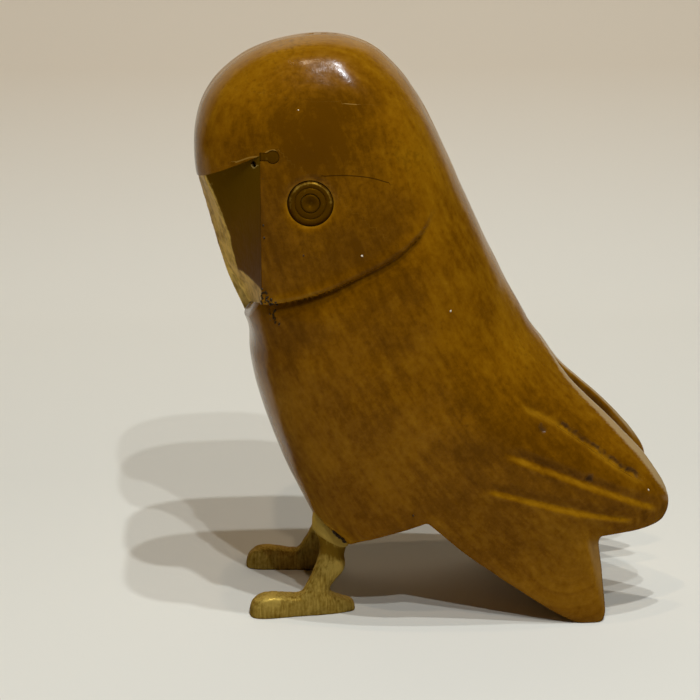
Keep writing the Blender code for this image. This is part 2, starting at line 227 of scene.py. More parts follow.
# carved body: the same stations as the solid, in mm

owlForm = {
    # height, front, back, widest place, half width, front and back roundness
    "body": (
        (155.6, -29.5, -29.5, -29.5, 0.0, 2.0, 2.0),
        (152.9, -45.9, -18.1, -30.0, 12.5, 2.2, 2.1),
        (145.5, -57.1, -9.5, -26.0, 20.0, 2.8, 2.1),
        (135.5, -62.9, -2.9, -20.0, 24.0, 3.4, 2.2),
        (123.0, -64.0, 3.2, -16.0, 25.8, 3.6, 2.2),
        (108.7, -60.8, 9.7, -13.0, 26.8, 3.6, 2.1),
        (92.2, -56.1, 17.8, -8.0, 28.0, 3.5, 1.9),
        (79.0, -50.7, 25.3, -4.0, 29.2, 3.2, 1.75),
        (71.0, -50.2, 31.7, -1.5, 30.1, 3.1, 1.75),
        (62.7, -48.6, 39.0, 1.0, 31.0, 3.0, 1.8),
        (52.0, -45.4, 51.4, 3.0, 31.7, 3.0, 2.1),
        (42.0, -41.6, 60.7, 3.0, 31.8, 2.9, 2.6),
        (33.5, -37.8, 66.0, 2.0, 31.2, 2.8, 3.0),
        (27.0, -34.6, 66.7, 1.0, 30.2, 2.8, 3.0),
        (23.4, -31.5, 62.8, 0.0, 29.2, 2.8, 3.0),
        (19.0, -27.0, 54.0, 0.0, 27.6, 2.8, 3.0),
    ),
    "tail": (
        (34.0, -10.0, 41.2, 30.0, 29.4, 6.0, 12.0),
        (23.0, -10.0, 42.7, 30.0, 29.2, 6.0, 12.0),
        (12.0, -10.0, 44.2, 30.0, 29.0, 6.0, 12.0),
        (3.0, -10.0, 45.3, 30.0, 28.8, 6.0, 12.0),
        (0.0, -10.0, 45.0, 30.0, 28.6, 6.0, 12.0),
    ),
    "wingGap": (
        (80.0, 24.6, 110.0, 80.0, 1.0, 2.4, 3.0),
        (66.0, 28.6, 110.0, 80.0, 9.2, 2.4, 3.0),
        (46.0, 37.0, 110.0, 80.0, 13.4, 2.8, 3.0),
        (30.0, 42.4, 110.0, 80.0, 16.0, 3.2, 3.0),
        (20.0, 45.0, 110.0, 80.0, 17.0, 3.2, 3.0),
    ),
    # underside along Y and Z: flat seats for the legs, a crease behind them, then the arch to the tail
    "belly": ((-44.0, 30.3), (-33.0, 23.5), (-25.6, 20.3), (-24.4, 20.1), (-21.5, 22.8), (-16.0, 25.6),
              (-8.0, 28.6), (-5.4, 29.6), (-4.2, 29.9), (-3.2, 29.3), (5.4, 21.5), (19.3, 11.0), (26.8, 5.8),
              (33.0, 2.0), (37.0, 0.0), (50.0, -6.0)),
    "wingFloor": 23.4,
    "wingFrom": 20.0,
    "tailTop": 32.0,
    "gapFloor": 20.0,
    "archLean": 0.8,
    # how far the rear corners of the tail are cut back, at the bottom and the top
    "tailCorner": (1.2, 5.5),
    # how far each edge is rounded or taken off
    "wingEdge": 1.5,
    "wingRound": 1.3,
    "tailBlend": 2.5,
    "tailRound": 0.8,
    "gapRound": 2.0,
    "archRound": 0.9,
    "soleRound": 0.6,
    # box that holds the wood, and the step of its skin
    "low": (-36.0, -68.0, -2.0),
    "high": (36.0, 70.0, 158.0),
    "voxel": 0.9,
}


def sectionTable(rows, crown=False):
    # height, middle, front ratio, back ratio, squared half width, roundness, from the bottom up
    z, front, back, middle, half, frontRound, backRound = denseRows(rows, 12, crown).T
    frontRatio = half / np.maximum(middle - front, 1e-9)
    backRatio = half / np.maximum(back - middle, 1e-9)
    if crown:
        frontRatio[0], backRatio[0] = frontRatio[1], backRatio[1]
    table = np.stack((z, middle, frontRatio, backRatio, half ** 2, frontRound, backRound), 1)[::-1]
    if crown:
        slope = table[-4, 4] / (table[-1, 0] - table[-4, 0])
        above = table[-1].copy()
        above[0] += 10
        above[4] = -slope * 10
        table = np.vstack((table, above))
    return table


def section(points, table):
    # how far a point lies outside the level section at its height
    columns = [np.interp(points[:, 2], table[:, 0], table[:, k]) for k in range(1, 7)]
    middle, frontRatio, backRatio, squared, frontRound, backRound = columns
    along = points[:, 1] - middle
    ahead = along < 0
    power = np.where(ahead, frontRound, backRound)
    scaled = np.abs(along) * np.where(ahead, frontRatio, backRatio)
    reach = (np.abs(points[:, 0]) ** power + scaled ** power) ** (1 / power)
    return reach - np.sign(squared) * np.sqrt(np.abs(squared))


bodyTable = sectionTable(owlForm["body"], True)
tailTable = sectionTable(owlForm["tail"])
gapTable = sectionTable(owlForm["wingGap"])
tailLine = denseRows(owlForm["tail"], 12)[::-1]
bellyLine = denseRows(owlForm["belly"], 8)


def woodField(points):
    # negative inside the wood before any knife work
    y, z = points[:, 1], points[:, 2]
    body = smoothMax(section(points, bodyTable), bodyTable[0, 0] - z, owlForm["wingRound"])
    half, back = (np.interp(z, tailLine[:, 0], tailLine[:, column]) for column in (4, 2))
    cornerCut = np.interp(z, (0, owlForm["tailTop"]), owlForm["tailCorner"])
    corner = (np.abs(points[:, 0]) - half + y - back + cornerCut) * diagonal
    tail = smoothMax(section(points, tailTable), corner, owlForm["tailRound"])
    tail = smoothMax(tail, z - owlForm["tailTop"], owlForm["tailBlend"])
    under = owlForm["wingFloor"] - z - np.maximum(owlForm["wingFrom"] - y, 0)
    body = smoothMax(body, under, owlForm["wingRound"])
    wood = smoothMin(body, tail, owlForm["tailBlend"])
    hollow = (np.interp(y, bellyLine[:, 0], bellyLine[:, 1]) - z) * owlForm["archLean"]
    wood = smoothMax(wood, hollow, owlForm["archRound"])
    gap = smoothMax(section(points, gapTable), owlForm["gapFloor"] - z, owlForm["gapRound"])
    wood = chamferMax(wood, -gap, owlForm["wingEdge"])
    return smoothMax(wood, -z, owlForm["soleRound"])


def bodyRow(z):
    return [np.interp(z, bodyTable[:, 0], bodyTable[:, k]) for k in range(1, 7)]


def frontY(z):
    middle, frontRatio, backRatio, squared, frontRound, backRound = bodyRow(z)
    return middle - np.sqrt(squared) / frontRatio


def flankX(y, z):
    middle, frontRatio, backRatio, squared, frontRound, backRound = bodyRow(z)
    along = y - middle
    ratio, power = (frontRatio, frontRound) if along < 0 else (backRatio, backRound)
    half = np.sqrt(squared)
    run = min(abs(along) * ratio / half, 1.0)
    return half * (1 - run ** power) ** (1 / power)


def flankPlace(y, z):
    # placement on the left flank: local Z outward, local X level, toward the back; in metres
    step = 0.5
    slopeY = (flankX(y + step, z) - flankX(y - step, z)) / (2 * step)
    slopeZ = (flankX(y, z + step) - flankX(y, z - step)) / (2 * step)
    outward = Vector((1.0, -slopeY, -slopeZ)).normalized()
    level = Vector((0.0, 0.0, 1.0)).cross(outward).normalized()
    turn = Matrix((level, outward.cross(level), outward)).transposed().to_4x4()
    return Matrix.Translation(Vector((flankX(y, z), y, z)) * mm) @ turn


# knife work on the wood: places along Y and Z on the flank, sizes in mm

knifeWork = {
    # across the body, where the cuts fade in
    "flankFrom": (5.0, 10.0),
    # cut under the cheek; it is deeper toward the beak
    "chin": ((-52.0, 87.2), (-45.3, 88.0), (-37.0, 90.1), (-29.3, 92.7), (-21.7, 96.3),
             (-14.1, 100.1), (-8.9, 103.9), (-5.0, 107.8), (-2.9, 111.9), (-1.7, 114.4)),
    "chinDepth": 1.6,
    "chinDeeper": 0.45,
    "chinWall": 0.9,
    "chinSoft": 2.8,
    "feathers": (
        ((20.0, 62.0), (26.0, 58.6), (31.2, 55.4), (39.6, 49.2), (46.8, 43.8), (56.5, 36.8)),
        ((15.0, 50.1), (26.8, 45.0), (39.3, 39.4), (50.8, 34.3), (60.5, 29.5)),
        ((9.5, 40.6), (23.0, 36.4), (33.9, 33.2), (45.2, 30.0), (54.0, 27.7)),
    ),
    "featherDepth": (1.0, 0.85, 0.75),
    "featherRun": 2.8,
    "featherWall": 1.1,
    # wood raised beside a cut: share of its depth, place across and width
    "chinRaised": (0.14, -1.7, 0.9),
    "featherRaised": (0.2, 1.5, 0.8),
    # painted highlight beside a cut, on the edge that catches the light: amount, place across and width
    "chinLip": (0.9, -1.2, 0.8),
    "featherLip": (0.85, 0.7, 0.75),
    # the upper feather line tore the wood
    "tornDepth": 0.4,
    # single chips along Y and Z, with radius and depth
    "chips": ((26.5, 54.6, 0.8, 0.5), (25.8, 55.6, 0.6, 0.4), (39.0, 40.9, 0.9, 0.55)),
    # uneven hand of the carver: size, place in the noise and depth
    "waver": ((13.0, 1.0, 0.2), (4.5, 2.0, 0.05)),
    # painted reflection, pale on the rear edge of the wings: height and width, and its share on the back of
    # the tail
    "wingSheen": ((24.0, 0.0), (30.0, 1.2), (37.0, 4.6), (46.0, 5.0), (60.0, 3.6), (74.0, 2.4), (78.0, 0.0)),
    "tailSheen": 0.35,
    "crack": ((-33.5, 122.5), (-27.6, 122.9), (-22.8, 122.7), (-18.7, 122.1), (-15.4, 121.2), (-11.5, 119.8)),
    "scribed": ((-55.0, 125.2), (-53.1, 125.9), (-49.5, 127.3), (-46.4, 127.7), (-45.2, 128.9),
                (-42.9, 129.3), (-41.4, 128.2)),
    "scratch": ((-26.6, 140.8), (-23.8, 140.5), (-21.0, 140.3)),
    # middle line that the brush followed, and its length with the strokes drawn out
    "brush": ((-34.0, 135.0), (-24.0, 105.0), (-8.0, 75.0), (12.0, 45.0), (34.0, 20.0)),
    "brushRun": 30.0,
    # patches where the stain is made golden (+) or darker (-): along Y and Z, radius, amount
    "stain": (
        (-40.0, 112.0, 20.0, -0.28), (-25.0, 128.0, 16.0, -0.3), (-30.0, 98.0, 14.0, -0.2),
        (-16.0, 50.0, 24.0, 0.3), (45.0, 52.0, 16.0, -0.45), (32.0, 14.0, 16.0, 0.4),
        (-36.0, 140.0, 12.0, -0.42), (7.0, 59.0, 12.0, -0.5), (24.0, 74.0, 12.0, -0.25),
        (33.0, 29.0, 12.0, 0.4), (8.0, 24.0, 10.0, 0.35), (-56.0, 134.0, 10.0, -0.22),
        (-36.0, 153.0, 12.0, -0.2),
    ),
}


def alongLine(points, places, steps=6):
    # signed distance to a line on the flank, positive below it, and the share of its length
    line = denseRows(places, steps)
    best = np.full(len(points), 1e9)
    signed = np.full(len(points), 1e9)
    share = np.zeros(len(points))
    run = np.concatenate(([0.0], np.cumsum(np.linalg.norm(np.diff(line, axis=0), axis=1))))
    for index in range(len(line) - 1):
        start, step = line[index], line[index + 1] - line[index]
        offset = points[:, 1:] - start
        t = np.clip(offset @ step / (step @ step), 0, 1)
        gap = offset - t[:, None] * step
        distance = np.hypot(gap[:, 0], gap[:, 1])
        below = offset[:, 0] * step[1] - offset[:, 1] * step[0]
        closer = distance < best
        best[closer] = distance[closer]
        signed[closer] = np.where(below > 0, distance, -distance)[closer]
        share[closer] = (run[index] + t[closer] * np.sqrt(step @ step)) / run[-1]
    return signed, share


def knifeDepth(points):
    # how deep the knife went at each point, in mm, and how dark the cut is painted: raw wood in the chips,
    # painted shade in the torn groove
    onFlank = easeBetween(np.abs(points[:, 0]), *knifeWork["flankFrom"])
    rough = wobble(points, 2.2, 3, 4.0)
    signed, share = alongLine(points, knifeWork["chin"])
    deeper = 1 + knifeWork["chinDeeper"] * easeBetween(share, 0.6, 0.3)
    strength = easeBetween(share, 1.0, 0.8) * knifeWork["chinDepth"] * onFlank * deeper
    below = np.exp(-np.maximum(signed, 0) / knifeWork["chinSoft"])
    above = 1 - easeBetween(-signed, 0.0, knifeWork["chinWall"])
    depth = strength * (below * above - ridge(signed, *knifeWork["chinRaised"]))
    rawAndShaded = np.zeros(len(points))
    for number, places in enumerate(knifeWork["feathers"]):
        signed, share = alongLine(points, places)
        ends = easeBetween(share, 0.0, 0.16) * easeBetween(share, 1.0, 0.86) * onFlank
        slope = easeBetween(signed, -knifeWork["featherRun"], -0.2)
        wall = 1 - easeBetween(signed, -0.1, knifeWork["featherWall"])
        cut = slope * wall * (1 + 0.2 * rough) - ridge(signed, *knifeWork["featherRaised"])
        depth += ends * knifeWork["featherDepth"][number] * cut
        if number == 0:
            # the torn groove is painted dark too: painted shade in the groove
            band = np.exp(-((signed + 0.2 + 0.5 * rough) / 0.6) ** 4) * easeBetween(share, 0.26, 0.34) * ends
            torn = band * (0.35 + 0.65 * easeBetween(wobble(points, 1.5, 3, 12.0), -0.1, 0.3))
            depth += knifeWork["tornDepth"] * torn
            rawAndShaded = np.maximum(rawAndShaded, torn)
    for y, z, radius, deep in knifeWork["chips"]:
        near = np.hypot(points[:, 1] - y, points[:, 2] - z) * (1 + 0.6 * rough)
        pit = np.exp(-(near / radius) ** 4) * onFlank
        depth += deep * pit
        rawAndShaded = np.maximum(rawAndShaded, pit)
    return depth, rawAndShaded


# let-in pieces: places on the left flank, sizes in mm

letIn = {
    "gap": 0.3,
    # beak seat: upright rear face, ledge above and sill below it, slopes in degrees
    "seatY": -47.0,
    "seatHalf": 45.0,
    "seatReach": -75.0,
    "ledgeRearZ": 127.8,
    "ledgeSlope": 24.0,
    "sillRearZ": 89.0,
    "sillSlope": 60.0,
    "eyeY": -34.4,
    "eyeZ": 115.7,
    "eyeRadius": 5.8,
    "eyeDepth": 3.2,
    "eyeSink": 0.3,
    "eyeGap": 0.14,
    "eyeClear": 6.0,
    # softened edge of the wood around the eye
    "lipWidth": 0.5,
    "lipDepth": 0.5,
    "keyReach": 3.2,
    "keyRise": -0.3,
    "keyRadius": 1.65,
    "keyNeck": 1.0,
    "keyDepth": 4.0,
    "keyGap": 0.08,
    "keyClear": 4.0,
    "keySoft": 0.2,
    "legGap": 0.1,
}


def ledgeZ(y):
    return letIn["ledgeRearZ"] + (y - letIn["seatY"]) * tan(radians(letIn["ledgeSlope"]))


def sillZ(y):
    return letIn["sillRearZ"] + (y - letIn["seatY"]) * tan(radians(letIn["sillSlope"]))


eyePlace = flankPlace(letIn["eyeY"], letIn["eyeZ"])
keyPlace = flankPlace(letIn["seatY"] + letIn["keyReach"], letIn["ledgeRearZ"] + letIn["keyRise"])


def pocketLips(points):
    # softened edges where the wood meets the brass
    side = points * np.where(points[:, :1] < 0, np.array((-1.0, 1.0, 1.0)), 1.0)
    turned = np.array(eyePlace.inverted())[:3, :3]
    local = (turned @ (side.T - np.array(eyePlace.translation)[:, None] / mm)).T
    beyond = np.hypot(local[:, 0], local[:, 1]) - letIn["eyeRadius"] - letIn["eyeGap"]
    lip = np.exp(-(np.maximum(beyond, 0) / letIn["lipWidth"]) ** 2) * letIn["lipDepth"]
    return lip * (np.abs(local[:, 2]) < letIn["eyeClear"])


def refineNear(points, quads, keep):
    # split the faces near the knife work and the edges in four
    edit = bmesh.new()
    verts = [edit.verts.new(p) for p in points]
    for quad in quads:
        edit.faces.new([verts[i] for i in quad])
    edit.verts.ensure_lookup_table()
    edit.verts.index_update()
    chosen = [e for e in edit.edges if keep[e.verts[0].index] and keep[e.verts[1].index]]
    bmesh.ops.subdivide_edges(edit, edges=chosen, cuts=1, use_grid_fill=True)
    edit.verts.index_update()
    newPoints = np.array([v.co for v in edit.verts])
    faces = [[v.index for v in f.verts] for f in edit.faces]
    edit.free()
    return newPoints, faces


def atBends(quads, normals):
    # points on faces that turn sharply
    corners = normals[quads]
    turn = np.minimum((corners[:, 0] * corners[:, 2]).sum(1), (corners[:, 1] * corners[:, 3]).sum(1))
    bent = np.zeros(len(normals), bool)
    bent[quads[turn < 0.93].ravel()] = True
    return bent


def carveBody(material):
    points, quads = fieldMesh(woodField, owlForm["low"], owlForm["high"], owlForm["voxel"])
    points = settleOn(points, woodField)
    depth, rawAndShaded = knifeDepth(points)
    near = (np.abs(depth) > 0.06) | (pocketLips(points) > 0.04) | atBends(quads, normalsOf(points, woodField))
    points, faces = refineNear(points, quads, near)
    points = settleOn(points, woodField, 2)
    depth, rawAndShaded = knifeDepth(points)
    waver = sum(wobble(points, size, 2, start) * deep for size, start, deep in knifeWork["waver"])
    taken = depth + pocketLips(points) + waver * np.clip(points[:, 2] / 2, 0, 1)
    points = points - normalsOf(points, woodField) * taken[:, None]
    points[:, 2] = np.clip(points[:, 2], 0.0, owlForm["body"][0][0])
    body = meshPiece("carvedBody", points, faces, material)
    print("body skin:", len(points), "points")
    for tool in bodyTools():
        combine(body, tool, "DIFFERENCE")
    turnOutwards(body)
    body.data.shade_smooth()
    body.data.set_sharp_from_angle(angle=radians(50))
    markBody(body)
    return body


def lineValue(points, places):
    # signed distance to a fine line on the left flank; far away beyond its ends
    signed, share = alongLine(points, places, 8)
    faded = easeBetween(share, 0.0, 0.1) * easeBetween(share, 1.0, 0.85) * (points[:, 0] > 0)
    return np.where(signed < 0, -1, 1) * (np.minimum(np.abs(signed), 5) + 5 * (1 - faded))


def wingSheen(points, normal):
    # painted reflection, pale along the rear edges of the wings where they face up and back, and a little on
    # the back of the tail
    y, z = points[:, 1], points[:, 2]
    heights, widths = np.array(knifeWork["wingSheen"]).T
    width = np.maximum(np.interp(z, heights, widths), 0.01)
    inside = section(points, gapTable)
    strip = easeBetween(inside, width, width * 0.85) * easeBetween(inside, 0.4, 0.8)
    strip = strip * (width > 0.05) * (y > 15)
    facing = easeBetween(normal[:, 1] * 0.65 + normal[:, 2] * 0.75, 0.55, 0.7)
    tail = (z < 24) * easeBetween(normal[:, 1], 0.5, 0.8) * easeBetween(z, 0.0, 16.0)
    return np.maximum(knifeWork["tailSheen"] * tail, strip * facing)


def markBody(body):
    # values that the finish follows: raw cuts with painted shade, fine lines, painted sheen with stain
    # patches, the painted reflection on the rear edges and the run of the brush
    points = pointsOf(body)
    depth, rawAndShaded = knifeDepth(points)
    setAttribute(body, "rawAndShadedCut", rawAndShaded)
    lines = np.stack([lineValue(points, knifeWork[name]) for name in ("crack", "scribed", "scratch")], 1)
    setAttribute(body, "fineLines", lines, "FLOAT_VECTOR")
    normal = normalsOf(points, woodField)
    # painted sheen: golden where the surface faces up, forward or back rather than sideways, and on the
    # softened lip round each eye
    sheenAndStain = 1 - np.abs(normal[:, 0]) + 2 * pocketLips(points)
    for y, z, radius, amount in knifeWork["stain"]:
        sheenAndStain += amount * np.exp(-((points[:, 1] - y) ** 2 + (points[:, 2] - z) ** 2) / radius ** 2)
    wavy = 1 + 0.5 * wobble(points, 6.0, 2, 7.0)
    # painted highlight on the lower lip of each feather cut
    for places in knifeWork["feathers"]:
        signed, share = alongLine(points, places)
        ends = easeBetween(share, 0.0, 0.12) * easeBetween(share, 1.0, 0.9)
        sheenAndStain += ends * wavy * ridge(signed, *knifeWork["featherLip"])
    # painted highlight on the pale lip above the chin cut
    signed, share = alongLine(points, knifeWork["chin"])
    sheenAndStain += easeBetween(share, 0.5, 0.3) * ridge(signed, *knifeWork["chinLip"])
    setAttribute(body, "paintedSheenAndStain", sheenAndStain)
    setAttribute(body, "rearSheen", wingSheen(points, normal))
    across, share = alongLine(points, knifeWork["brush"], 8)
    brush = np.stack((across, share * knifeWork["brushRun"], points[:, 0]), 1) * mm
    setAttribute(body, "brushPlace", brush, "FLOAT_VECTOR")


def prism(outline, halfWidth, place):
    # straight cutter or plate from an outline in mm, placed by a matrix in metres
    count = len(outline)
    points = [(u, v, -halfWidth) for u, v in outline] + [(u, v, halfWidth) for u, v in outline]
    faces = [tuple(range(count)), tuple(range(count, 2 * count))]
    for i in range(count):
        j = (i + 1) % count
        faces.append((i, j, count + j, count + i))
    return placed(points, place), faces


def lathe(profile, steps):
    # turned piece from radius and height, top to bottom, both ends on the axis; in mm
    points, faces = [], []
    for radius, height in profile:
        for step in range(steps):
            angle = 2 * pi * step / steps
            points.append(Vector((radius * cos(angle), radius * sin(angle), height)))
    for ring in range(len(profile) - 1):
        for step in range(steps):
            after = (step + 1) % steps
            faces.append((ring * steps + step, (ring + 1) * steps + step,
                          (ring + 1) * steps + after, ring * steps + after))
    return points, faces


def placed(points, place):
    return [tuple(place @ (Vector(p) * mm) / mm) for p in points]


def bothSides(points):
    return ("Left", points), ("Right", [(-x, y, z) for x, y, z in points])


def keyOutline(grow):
    radius = letIn["keyRadius"] + grow
    neck = letIn["keyNeck"] + grow
    start = np.arcsin(neck / radius)
    arc = [(radius * cos(a), radius * sin(a)) for a in np.linspace(pi - start, start - pi, 40)]
    end = letIn["keyReach"] + 2 * grow
    return arc + [(-end, -neck), (-end, neck)]


def bodyTools():
    # cutters for the beak seat, the eye and key pockets, the tenon holes and the leg collars
    front = letIn["seatReach"]
    seat = [(letIn["seatY"], letIn["sillRearZ"]), (letIn["seatY"], letIn["ledgeRearZ"]),
            (front, ledgeZ(front)), (front, sillZ(front))]
    across = Matrix(((0, 0, 1), (1, 0, 0), (0, 1, 0))).to_4x4()
    tools = [prism(seat, letIn["seatHalf"], across)]
    eyeHole, top = letIn["eyeRadius"] + letIn["eyeGap"], letIn["eyeClear"]
    floor = -letIn["eyeSink"] - letIn["eyeDepth"] - letIn["gap"]
    eye, eyeFaces = lathe([(0, top), (eyeHole, top), (eyeHole, floor), (0, floor)], 72)
    half = (letIn["keyDepth"] + letIn["gap"] + letIn["keyClear"]) / 2
    lifted = keyPlace @ Matrix.Translation((0, 0, (letIn["keyClear"] - half) * mm))
    key = prism(keyOutline(letIn["keyGap"]), half, lifted)
    collar = fieldMesh(lambda p: legField(p) - letIn["legGap"], legForm["low"], legForm["high"],
                       legForm["toolVoxel"])
    for points, faces in ((placed(eye, eyePlace), eyeFaces), key, tenonRod(letIn["gap"]), collar):
        tools += [(sidePoints, faces) for side, sidePoints in bothSides(points)]
    return [meshPiece("tool", points, faces, None) for points, faces in tools]


# cast brass legs, in mm

legForm = {
    "footX": 16.6,
    "footY": -36.0,
    "toeOut": 6.0,
    "footRound": 4.0,
    # along the foot, half width, height
    "foot": (
        (-15.2, 1.6, 2.4), (-14.0, 2.9, 4.3), (-11.4, 3.7, 5.7), (-7.5, 3.7, 5.8), (-2.0, 3.4, 5.2),
        (3.0, 3.4, 5.8), (7.5, 3.1, 4.9), (10.4, 2.6, 3.8), (12.6, 1.9, 2.9), (13.6, 1.0, 1.7),
    ),
    # height, across, along, half width, half length, tip back in degrees
    "shank": (
        (2.5, 16.4, -33.0, 2.7, 3.6, 0.0), (6.8, 16.2, -32.8, 2.9, 3.3, 0.0),
        (12.4, 15.2, -29.3, 3.3, 4.0, 5.0), (16.6, 14.4, -28.7, 3.0, 3.3, 14.0),
        (20.0, 13.6, -29.0, 4.2, 4.4, 28.0), (22.4, 13.2, -28.8, 4.5, 4.7, 28.0),
        (25.6, 12.8, -28.4, 4.5, 4.7, 28.0),
    ),
    # on the far leg the heel was filed short and the toe reaches further
    "heelTrim": 2.4,
    "toeReach": 0.8,
    "bandLow": 20.7,
    "bandProud": 0.4,
    # level and height of the painted shade in the recess under the collar
    "recess": (18.0, 2.0),
    # painted highlights on the knee and the toe: across, along, height and radius
    "litSpots": ((17.5, -27.1, 13.0, 3.0), (19.5, -45.5, 4.6, 2.4)),
    "litSpotShare": 0.6,
    # middle, squash and radius of the dent below the collar
    "dent": ((19.0, -30.4, 16.6), (1.0, 0.9, 0.6), 2.3),
    # uneven skin of the casting: size, octaves, place in the noise and depth
    "castSkin": ((3.2, 3, 3.0, 0.16), (1.1, 2, 5.0, 0.05)),
    # how far each edge is rounded, and where the shank grows out of the foot
    "toeRound": 0.6,
    "soleRound": 0.5,
    "rimRound": 0.4,
    "dentRound": 0.8,
    "blend": 2.2,
    "tenonRadius": 2.2,
    "tenonEnds": (15.0, -2.0),
    "tenonSetback": 2.6,
    # box that holds a leg, and the step of its skin and of the cutter for its seat
    "low": (7.0, -53.0, -1.0),
    "high": (23.0, -18.0, 28.0),
    "voxel": 0.33,
    "toolVoxel": 0.5,
}
footTable = denseRows(legForm["foot"], 6)
shankTable = denseRows(legForm["shank"], 6)


def tenonRod(gap):
    # round tenon on the tipped collar, or with a gap the hole for it
    height, across, along, halfWidth, halfLength, tip = legForm["shank"][-2]
    place = (Matrix.Translation(Vector((across, along, height)) * mm) @ Matrix.Rotation(-radians(tip), 4, "X")
             @ Matrix.Translation((0, legForm["tenonSetback"] * mm, 0)))
    radius, (top, low) = legForm["tenonRadius"] + gap, legForm["tenonEnds"]
    rod, faces = lathe([(0, top + gap), (radius, top + gap), (radius, low), (0, low)], 40)
    return placed(rod, place), faces


def legField(points):
    # negative inside the left leg
    x, y, z = points.T
    turn = radians(legForm["toeOut"])
    offX, offY = x - legForm["footX"], y - legForm["footY"]
    across, along = offX * cos(turn) + offY * sin(turn), -offX * sin(turn) + offY * cos(turn)
    half, tall = (np.interp(along, footTable[:, 0], footTable[:, k]) for k in (1, 2))
    power = legForm["footRound"]
    reach = ((np.abs(across) / half) ** power + (np.maximum(z, 0) / tall) ** power) ** (1 / power)
    foot = (reach - 1) * np.minimum(half, tall)
    ends = np.maximum(footTable[0, 0] - along, along - footTable[-1, 0])
    foot = smoothMax(smoothMax(foot, ends, legForm["toeRound"]), -z, legForm["soleRound"])
    level = z.copy()
    for turnCount in range(2):
        middleX, middleY, halfX, halfY, tip = (np.interp(level, shankTable[:, 0], shankTable[:, k])
                                               for k in range(1, 6))
        level = z + (y - middleY) * np.tan(np.radians(tip))
    reach = np.hypot((x - middleX) / halfX, (y - middleY) / halfY)
    band = easeBetween(level, legForm["bandLow"] - 0.3, legForm["bandLow"]) * legForm["bandProud"]
    shank = (reach - 1) * np.minimum(halfX, halfY) - band
    rims = np.maximum((level - shankTable[-1, 0]) * 0.88, shankTable[0, 0] - level)
    shank = smoothMax(shank, rims, legForm["rimRound"])
    leg = smoothMin(foot, shank, legForm["blend"])
    middle, squash, radius = legForm["dent"]
    dent = np.linalg.norm((points - np.array(middle)) * np.array(squash), axis=1) - radius
    return smoothMax(leg, -dent, legForm["dentRound"])


def legPaintedLight(points):
    # painted light on the legs: the collar is painted bright as a highlight, the recess below it dark as
    # painted shade, and the knee and toe carry painted highlights
    x, y, z = np.abs(points[:, 0]), points[:, 1], points[:, 2]
    height, across, along, halfWidth, halfLength, tip = legForm["shank"][-3]
    level = z + (y - along) * tan(radians(tip))
    collar = easeBetween(level, legForm["bandLow"] - 0.5, legForm["bandLow"]) * (z > 14)
    middle, tall = legForm["recess"]
    recess = np.exp(-((level - middle) / tall) ** 2) * easeBetween(x, 13.0, 15.5) * (z > 12)
    toneAndPaintedLight = collar - 0.9 * recess
    for spotX, spotY, spotZ, radius in legForm["litSpots"]:
        squared = (x - spotX) ** 2 + (y - spotY) ** 2 + (z - spotZ) ** 2
        toneAndPaintedLight += legForm["litSpotShare"] * np.exp(-squared / radius ** 2)
    return toneAndPaintedLight


def castLegs(material):
    points, quads = fieldMesh(legField, legForm["low"], legForm["high"], legForm["voxel"])
    points = settleOn(points, legField)
    normal = normalsOf(points, legField)
    rod, rodFaces = tenonRod(0.0)
    legs = []
    for side, sign, offset in (("Left", 1, 0.0), ("Right", -1, 9.0)):
        mirror = np.array((sign, 1, 1))
        dents = sum(wobble(points, size, octaves, start + offset) * deep
                    for size, octaves, start, deep in legForm["castSkin"])
        moved = points - normal * (dents * np.clip(points[:, 2], 0, 1))[:, None]
        moved[:, 2] = np.maximum(moved[:, 2], 0.0)
        if side == "Right":
            heel = easeBetween(moved[:, 1], -30.0, -23.0) * easeBetween(moved[:, 2], 8.0, 5.0)
            moved[:, 1] -= legForm["heelTrim"] * heel
            moved[:, 1] -= legForm["toeReach"] * easeBetween(moved[:, 1], -42.0, -48.0)
        leg = meshPiece("castLeg" + side, moved * mirror, quads, material)
        combine(leg, meshPiece("tenon", np.array(rod) * mirror, rodFaces, material), "UNION")
        turnOutwards(leg)
        leg.data.shade_smooth()
        leg.data.set_sharp_from_angle(angle=radians(55))
        setAttribute(leg, "wearAndPaintedLight", legPaintedLight(pointsOf(leg)))
        legs.append(leg)
    print("legs cast:", len(points), "points each")
    return legs


# brass beak wedge, in mm

beakForm = {
    "facetTop": 13.5,
    "facetLow": 4.5,
    # share of the height, and how far the front facet's edge lies behind the crest there
    "facetSetback": ((0.0, 3.0), (0.15, 3.3), (0.38, 3.6), (0.62, 4.3), (0.85, 3.6), (1.0, 2.2)),
    "gap": 0.06,
    "levels": 110,
    "sidePoints": 18,
    "nick": 0.1,
    # the lower end of each side was filed back to the tip: height at the seat, lean, slope and most
    "tipHeight": 93.0,
    "tipLean": 0.35,
    "tipSlope": 0.5,
    "tipMost": 2.0,
    # pin hole at the upper corner: place, way out and radius, and how far round it the rim is painted bright
    # as a highlight
    "pin": (23.2, -48.9, 125.4),
    "pinOut": (0.86, -0.5, 0.0),
    "pinRadius": 0.85,
    "pinRim": 0.3,
}


def beakSection(level):
    # corners from the left seat edge over the crest to the right seat edge
    gap = beakForm["gap"]
    rear = letIn["seatY"] - gap
    edgeX = beakForm["facetLow"] + (beakForm["facetTop"] - beakForm["facetLow"]) * level
    shares, setbacks = np.array(beakForm["facetSetback"]).T
    behind = np.interp(level, shares, setbacks)
    corners = []
    for setback in (0.0, behind, None):
        z = letIn["ledgeRearZ"]
        for turnCount in range(14):
            y = rear if setback is None else min(frontY(z) + setback, rear - 0.3)
            low = sillZ(y) + gap / cos(radians(letIn["sillSlope"]))
            top = ledgeZ(y) - gap / cos(radians(letIn["ledgeSlope"]))
            z += (low + (top - low) * level - z) / 2
        x = flankX(y, z) if setback is None else min(setback / behind, 1.0) * edgeX
        corners.append(np.array((x, y, z)))
    crest, edge, corner = corners
    flip = np.array((-1, 1, 1))
    return [corner, edge, crest, edge * flip, corner * flip]


